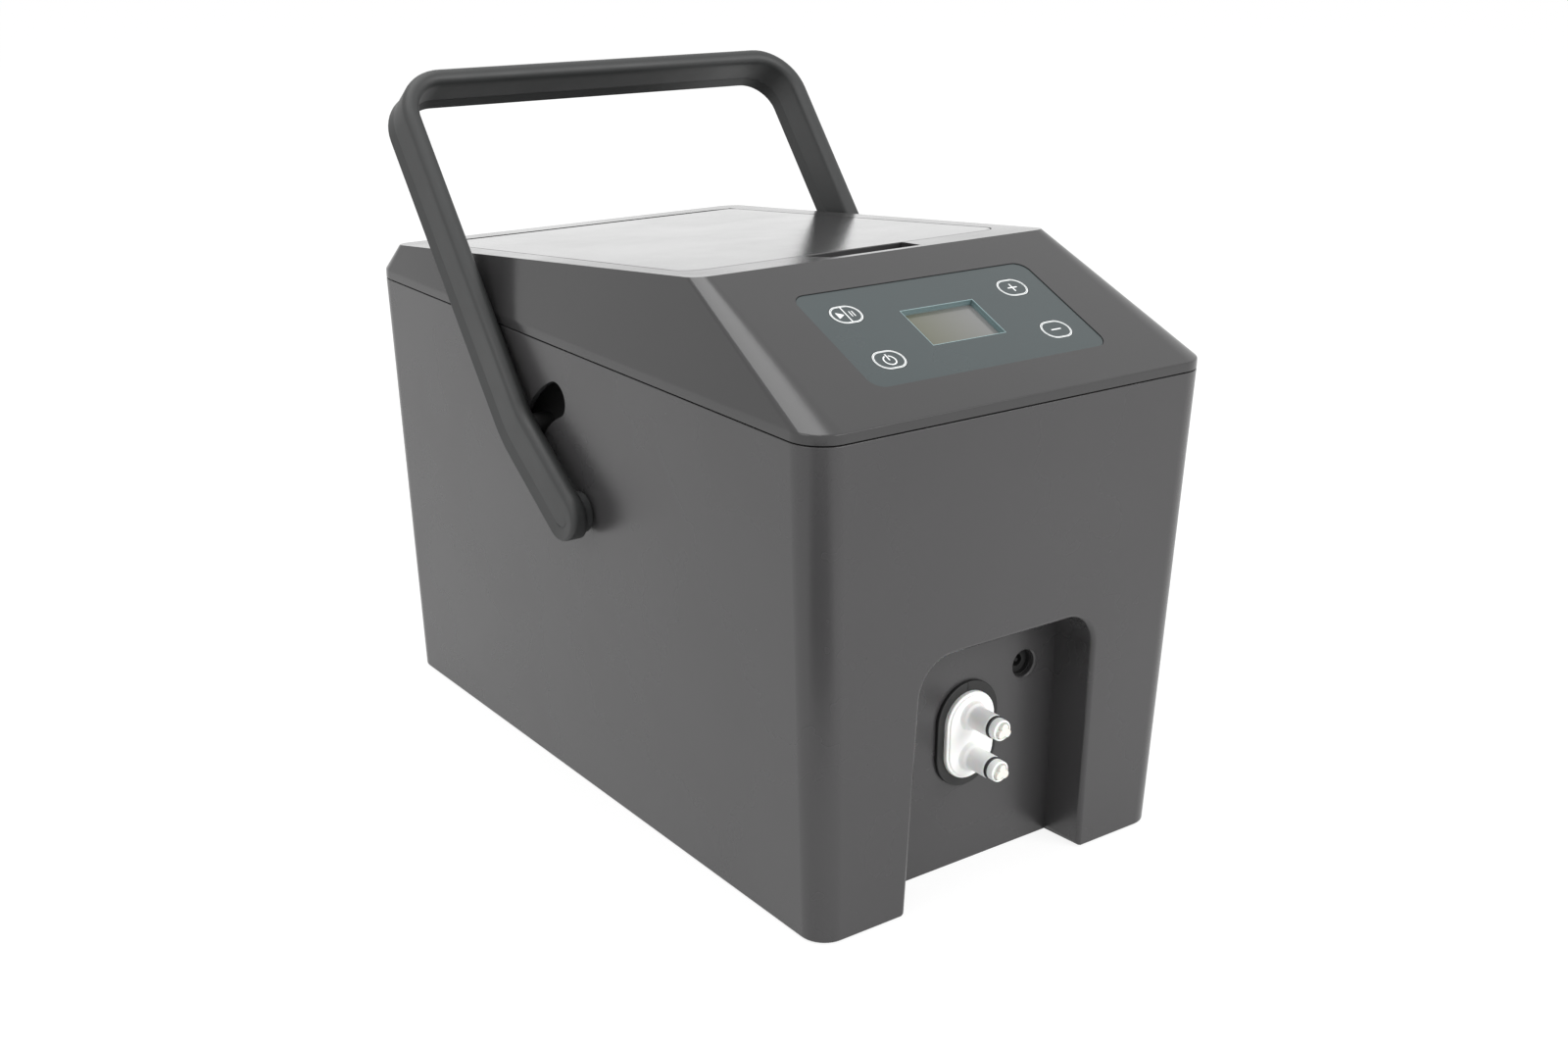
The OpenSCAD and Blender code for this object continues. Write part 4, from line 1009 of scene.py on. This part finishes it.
def make_round_end():
    """Round end about the pivot: half the section swung from the front edge to the flared rear edge."""
    tip = bar_section("round_end", -HALF_W, 0)
    edit(tip)
    bpy.ops.mesh.select_all(action="SELECT")
    swing_on(math.pi, (0, 0, 0), (1, 0, 0), END_STEPS)
    leave_edit(tip)
    for step in range(1, END_STEPS + 1):
        angle = math.pi * step / END_STEPS
        for radius, by in ((HALF_W, FLARE), (HALF_W - STEP_LINE, STEP_OUT)):
            y, z = -radius * math.cos(angle), -radius * math.sin(angle)

            def at_spot(v):
                return abs(v.co.y - y) < 2 * CLOSE and abs(v.co.z - z) < 2 * CLOSE

            widen(tip, at_spot, by * flare_share(step / END_STEPS))
    return tip


def flare_share(part):
    return part * part * (3 - 2 * part)


def crisp_share(edge):
    """0 where the round end's rim is soft, at its front, to 1 where it is crisp, at its rear."""
    middle = (edge.verts[0].co + edge.verts[1].co) / 2
    return flare_share(math.atan2(-middle.z, -middle.y) / math.pi)


def outer_rim(edge):
    """Edge of the round end's outline, below the pivot."""
    if not is_corner(edge):
        return False
    return all(v.co.z < CLOSE for v in edge.verts) and any(v.co.z < -CLOSE for v in edge.verts)


def join_halves(handle):
    """Opens the faces where the parts meet, mirrors the half bail and closes it."""
    edit(handle)
    for axis in (2, 0):
        pick("FACE", lambda f: all(abs(v.co[axis]) < CLOSE / 10 for v in f.verts))
        bpy.ops.mesh.delete(type="FACE")
    bpy.ops.mesh.select_all(action="SELECT")
    bpy.ops.mesh.remove_doubles(threshold=CLOSE)
    leave_edit(handle)
    bpy.ops.object.modifier_add(type="MIRROR")
    handle.modifiers[-1].merge_threshold = 2 * CLOSE
    bpy.ops.object.modifier_apply(modifier=handle.modifiers[-1].name)
    edit(handle)
    bpy.ops.mesh.select_all(action="SELECT")
    bpy.ops.mesh.normals_make_consistent(inside=False)
    return leave_edit(handle)


def long_edge(way):
    """Test for a long edge of the bar, on its front or rear side."""

    def test(edge):
        if edge.calc_face_angle(0) < 1.0 or all(v.co.z < CLOSE for v in edge.verts):
            return False
        return any(face.normal.y * way > 0.9 for face in edge.link_faces)

    return test


def rim_part(step):
    """Test for the stretch of the round end's rim that takes one step of the rounding."""
    return lambda edge: outer_rim(edge) and step - 1 < crisp_share(edge) * RIM_STEPS <= step


def make_handle():
    """One-piece bail: soft at the front, crisp and flared at the rear, with a boss at each pivot."""
    handle = join_halves(join_up("handle_bar", [make_bar(), make_round_end()]))
    rules = [(long_edge(-1), FRONT_ROUND), (long_edge(1), REAR_ROUND)]
    for step in range(0, RIM_STEPS + 1):
        rules.append((rim_part(step), FRONT_ROUND + (REAR_ROUND - FRONT_ROUND) * step / RIM_STEPS))
    soften(handle, rules, 5)
    put(handle, arm_place(PIVOT_Y, PIVOT_Z, LOWER_LEAN))
    for side in (-1, 1):
        boss = pivot_drum("handle_boss", HANDLE_BOSS_R, side, HANDLE_BOSS_IN, HANDLE_BOSS_OUT)
        bevel_where(boss, lambda e: all(abs(abs(v.co.x) - HANDLE_BOSS_IN) < CLOSE for v in e.verts), 0.5, 2)
        add_to(handle, boss)
    return finish_piece(handle, handle_plastic, "bail", ["handle"], 30)


# ---------------------------------------------------------------- coupling

# Turned lines are (height, radius) stations out of the niche's back wall.
NIPPLE_FLARE = [(4.2, 8.3), (5.2, 7.75), (5.8, 7.35), (7.0, 7.1), (7.5, 6.7), (8.0, 6.1), (8.8, 5.8)]
NIPPLE_GROOVE = [(19.7, 5.8), (20.0, 5.6), (20.02, 4.8), (21.78, 4.8), (21.8, 5.1), (22.1, 5.3)]
NIPPLE_TIP = [(25.1, 5.3), (25.7, 5.15), (26.0, 4.8)]
BARB_ROOTS, BARB_L, BARB_END = (-20, -16, -12), 3.0, -7
BARB_THIN, BARB_WIDE = 3.6, 4.3
SEAL_LINE = [(20.05, 4.85), (20.1, 5.35), (20.4, 5.7), (20.9, 5.78), (21.4, 5.7), (21.7, 5.35), (21.75, 4.85)]
STEM_LINE = [(21.6, 1.6), (25.1, 1.6), (25.2, 4.1), (25.7, 4.1), (25.85, 3.95)]
LOBE_LINE = [(25.4, 2.2), (27.3, 2.2), (27.65, 2.08), (27.8, 1.85)]
LOBE_OUT, LOBE_ANGLES = 2.0, (90, 210, 330)
CLOVER_R, CLOVER_FLOOR, FLOW_R, BACK_FLOW_R = 4.35, 21.9, 3.1, 2.2
PLATE_W, PLATE_H = 30.0, 45.0
GASKET_W, GASKET_H = 38.0, 54.8


def barb_line():
    """Three hose barbs that widen towards the wall and end in a step."""
    line = []
    for root in BARB_ROOTS:
        line += [(root, BARB_THIN), (root + BARB_L, BARB_WIDE), (root + BARB_L + 0.02, BARB_THIN)]
    return line + [(BARB_END, BARB_THIN)]


def on_axis(name, radius, low, high):
    return drum(name, radius, (low, high), (0, 0, 0), "Z")


def make_poppet():
    """Stem and disc with three lobes that fill the nipple's tip."""
    poppet = turned("stem", STEM_LINE)
    for degrees in LOBE_ANGLES:
        angle = math.radians(degrees)
        centre = (LOBE_OUT * math.cos(angle), LOBE_OUT * math.sin(angle))
        add_to(poppet, turned("lobe", LOBE_LINE, centre, 28))
    return poppet


def make_seal():
    seal = turned("seal", SEAL_LINE)
    return cut(seal, on_axis("ring_bore", 4.78, 19, 23))


def make_gasket():
    """Oval rubber ring round the plate, with its moulding split at the top."""
    gasket = cushion("coupling_gasket_ring", GASKET_W, GASKET_H, -0.02, 1.95, 0.6, 3)
    add_to(gasket, pill("neck", 29.8, 46.8, -4.6, 0.5))
    cut(gasket, pill("bore", 26.1, 43.1, -8, 8), block("split", (-1.3, 20, 1.55), (-1.0, 30, 4)))
    finish_piece(put(gasket, ON_WALL), seal_rubber, "machine", ["coupling_gasket"])


def make_coupling():
    """Oval plate with two valved nipples, whose poppets slide, and the hose barbs behind it."""
    plate = cushion("coupling_plate", PLATE_W, PLATE_H, 1.9, 4.2, 0.8, 3)
    add_to(plate, cushion("collar_step", PLATE_W - 2.6, PLATE_H - 2.6, 3, 5, 0.8, 3))
    add_to(plate, pill("shank", 26, 43, -5, 2), pill("flange", 34, 51, -7.5, -4.8))
    nipple = turned("nipple", NIPPLE_FLARE + NIPPLE_GROOVE + NIPPLE_TIP)
    cut(nipple, on_axis("clover_bore", CLOVER_R, CLOVER_FLOOR, 30), on_axis("flow", FLOW_R, 18, 30))
    seal, poppet = make_seal(), make_poppet()
    seals = []
    for way, up in (("supply", -PITCH / 2), ("return", PITCH / 2)):
        lift = Matrix.Translation((0, up, 0))
        add_to(plate, put(copy_of(nipple, "nipple_copy"), lift), put(turned("barb", barb_line()), lift))
        cut(plate, put(on_axis("flow_back", BACK_FLOW_R, -30, 19), lift))
        seals.append(put(copy_of(seal, "seal_copy"), lift))
        valve = put(copy_of(poppet, way + "_poppet_valve"), ON_WALL @ lift)
        finish_piece(valve, poppet_plastic, way + "_valve", [way + "_poppet"])
    for spare in (nipple, seal, poppet):
        bpy.data.objects.remove(spare)
    tidy_mesh(plate)
    finish_piece(put(plate, ON_WALL), valve_plastic, "machine", ["coupling_body"])
    make_gasket()
    ring_pair = put(join_up("nipple_seals", seals), ON_WALL)
    finish_piece(ring_pair, seal_rubber, "machine", ["nipple_o_rings"])


# ---------------------------------------------------------------- CAD nodes that keep their shape

KEPT = {
    "base_plate": body_plastic,
    "base_screws": steel,
    "feet": seal_rubber,
    "tank_liner": liner_plastic,
    "tank_gasket": seal_rubber,
    "tank_strainer": liner_plastic,
    "insulation": foam,
    "cover_screws": steel,
    "hinge_pins": steel,
    "door_liner": liner_plastic,
    "door_seal": seal_rubber,
    "control_board": board_mask,
    "board_screws": steel,
    "stop_pegs": peg_plastic,
    "pivot_pins": steel,
    "pivot_clips": steel,
    "pivot_bushes": dark_plastic,
    "power_jack": jack_black_and_painted_shade,
    "jack_nut": steel,
    "pump_housing": pump_plastic,
    "pump_motor": steel,
    "pump_impeller": valve_plastic,
    "pump_bracket": steel,
    "suction_hose": seal_rubber,
    "supply_hose": seal_rubber,
    "return_hose": seal_rubber,
    "wiring": cable_sheath,
}


def dress_kept_nodes():
    for name, material in KEPT.items():
        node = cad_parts[name]
        node.data.materials.clear()
        node.data.materials.append(material)


# ---------------------------------------------------------------- studio


def white_for_seen_rays(tree):
    """1 for camera, mirror and glass rays, 0 for the light that falls on things."""
    path = tree.nodes.new("ShaderNodeLightPath")
    first = tree.nodes.new("ShaderNodeMath")
    first.operation = "MAXIMUM"
    second = tree.nodes.new("ShaderNodeMath")
    second.operation = "MAXIMUM"
    tree.links.new(path.outputs["Is Camera Ray"], first.inputs[0])
    tree.links.new(path.outputs["Is Glossy Ray"], first.inputs[1])
    tree.links.new(first.outputs[0], second.inputs[0])
    tree.links.new(path.outputs["Is Transmission Ray"], second.inputs[1])
    return second.outputs[0]


def add_world():
    world = bpy.data.worlds.new("studio")
    bpy.context.scene.world = world
    world.use_nodes = True
    tree = world.node_tree
    back = tree.nodes["Background"]
    back.inputs["Color"].default_value = (1, 1, 1, 1)
    strength = tree.nodes.new("ShaderNodeMapRange")
    strength.inputs["To Min"].default_value = 0.75
    strength.inputs["To Max"].default_value = 1.0
    tree.links.new(white_for_seen_rays(tree), strength.inputs["Value"])
    tree.links.new(strength.outputs["Result"], back.inputs["Strength"])


def add_floor():
    start_clean()
    bpy.ops.mesh.primitive_plane_add(size=60, location=(0, 0, -0.0004))
    floor = bpy.context.object
    floor.name = "studio_floor"
    material = bpy.data.materials.new("studio_white")
    material.use_nodes = True
    tree = material.node_tree
    tree.nodes.remove(tree.nodes["Principled BSDF"])
    plain = tree.nodes.new("ShaderNodeBsdfDiffuse")
    plain.inputs["Color"].default_value = (0.95, 0.95, 0.95, 1)
    glow = tree.nodes.new("ShaderNodeEmission")
    glow.inputs["Strength"].default_value = 1.07
    lit = tree.nodes.new("ShaderNodeMixShader")
    lit.inputs[0].default_value = 0.8
    tree.links.new(plain.outputs[0], lit.inputs[1])
    tree.links.new(glow.outputs[0], lit.inputs[2])
    both = tree.nodes.new("ShaderNodeMixShader")
    tree.links.new(white_for_seen_rays(tree), both.inputs[0])
    tree.links.new(plain.outputs[0], both.inputs[1])
    tree.links.new(lit.outputs[0], both.inputs[2])
    tree.links.new(both.outputs[0], tree.nodes["Material Output"].inputs["Surface"])
    floor.data.materials.append(material)


def add_panel_light(name, at, aim, size, power):
    """Soft lamp that the camera doesn't see."""
    start_clean()
    bpy.ops.object.light_add(type="AREA", location=at)
    light = bpy.context.object
    light.name = name
    light.data.shape = "RECTANGLE"
    light.data.size, light.data.size_y = size
    light.data.energy = power
    light.rotation_mode = "QUATERNION"
    light.rotation_quaternion = (Vector(aim) - Vector(at)).to_track_quat("-Z", "Y")
    light.visible_camera = False


def add_dark_card():
    """Black card on the floor that only gloss sees, for the dark band down the near corner."""
    start_clean()
    turn = (0, 0, math.radians(-37))
    bpy.ops.mesh.primitive_plane_add(size=0.46, location=(-0.38, -0.56, 0.0006), rotation=turn)
    card = bpy.context.object
    card.name = "dark_card"
    material = shader("card_black", (0.01, 0.01, 0.01), 0.9)[0]
    card.data.materials.append(material)
    card.visible_camera = card.visible_diffuse = card.visible_transmission = card.visible_shadow = False


def add_lights():
    add_panel_light("front_softbox", (0.9, -2.2, 1.3), (0, 0, 0.12), (1.6, 1.2), 42)
    add_panel_light("left_softbox", (-2.2, -0.4, 1.3), (0, 0, 0.15), (1.2, 1.2), 10)
    add_panel_light("overhead_softbox", (-0.25, 0.3, 1.5), (0, 0, 0.2), (1.1, 1.1), 12)
    add_panel_light("back_panel", (1.3, 2.6, 1.15), (0, 0, 0.3), (3.4, 2.2), 9)


# ---------------------------------------------------------------- build

add_camera()
make_housing()
make_cover()
make_door()
make_facia()
make_keys()
make_display()
make_handle()
make_coupling()
dress_kept_nodes()
add_world()
add_floor()
add_dark_card()
add_lights()

bpy.context.scene.view_settings.view_transform = "Standard"
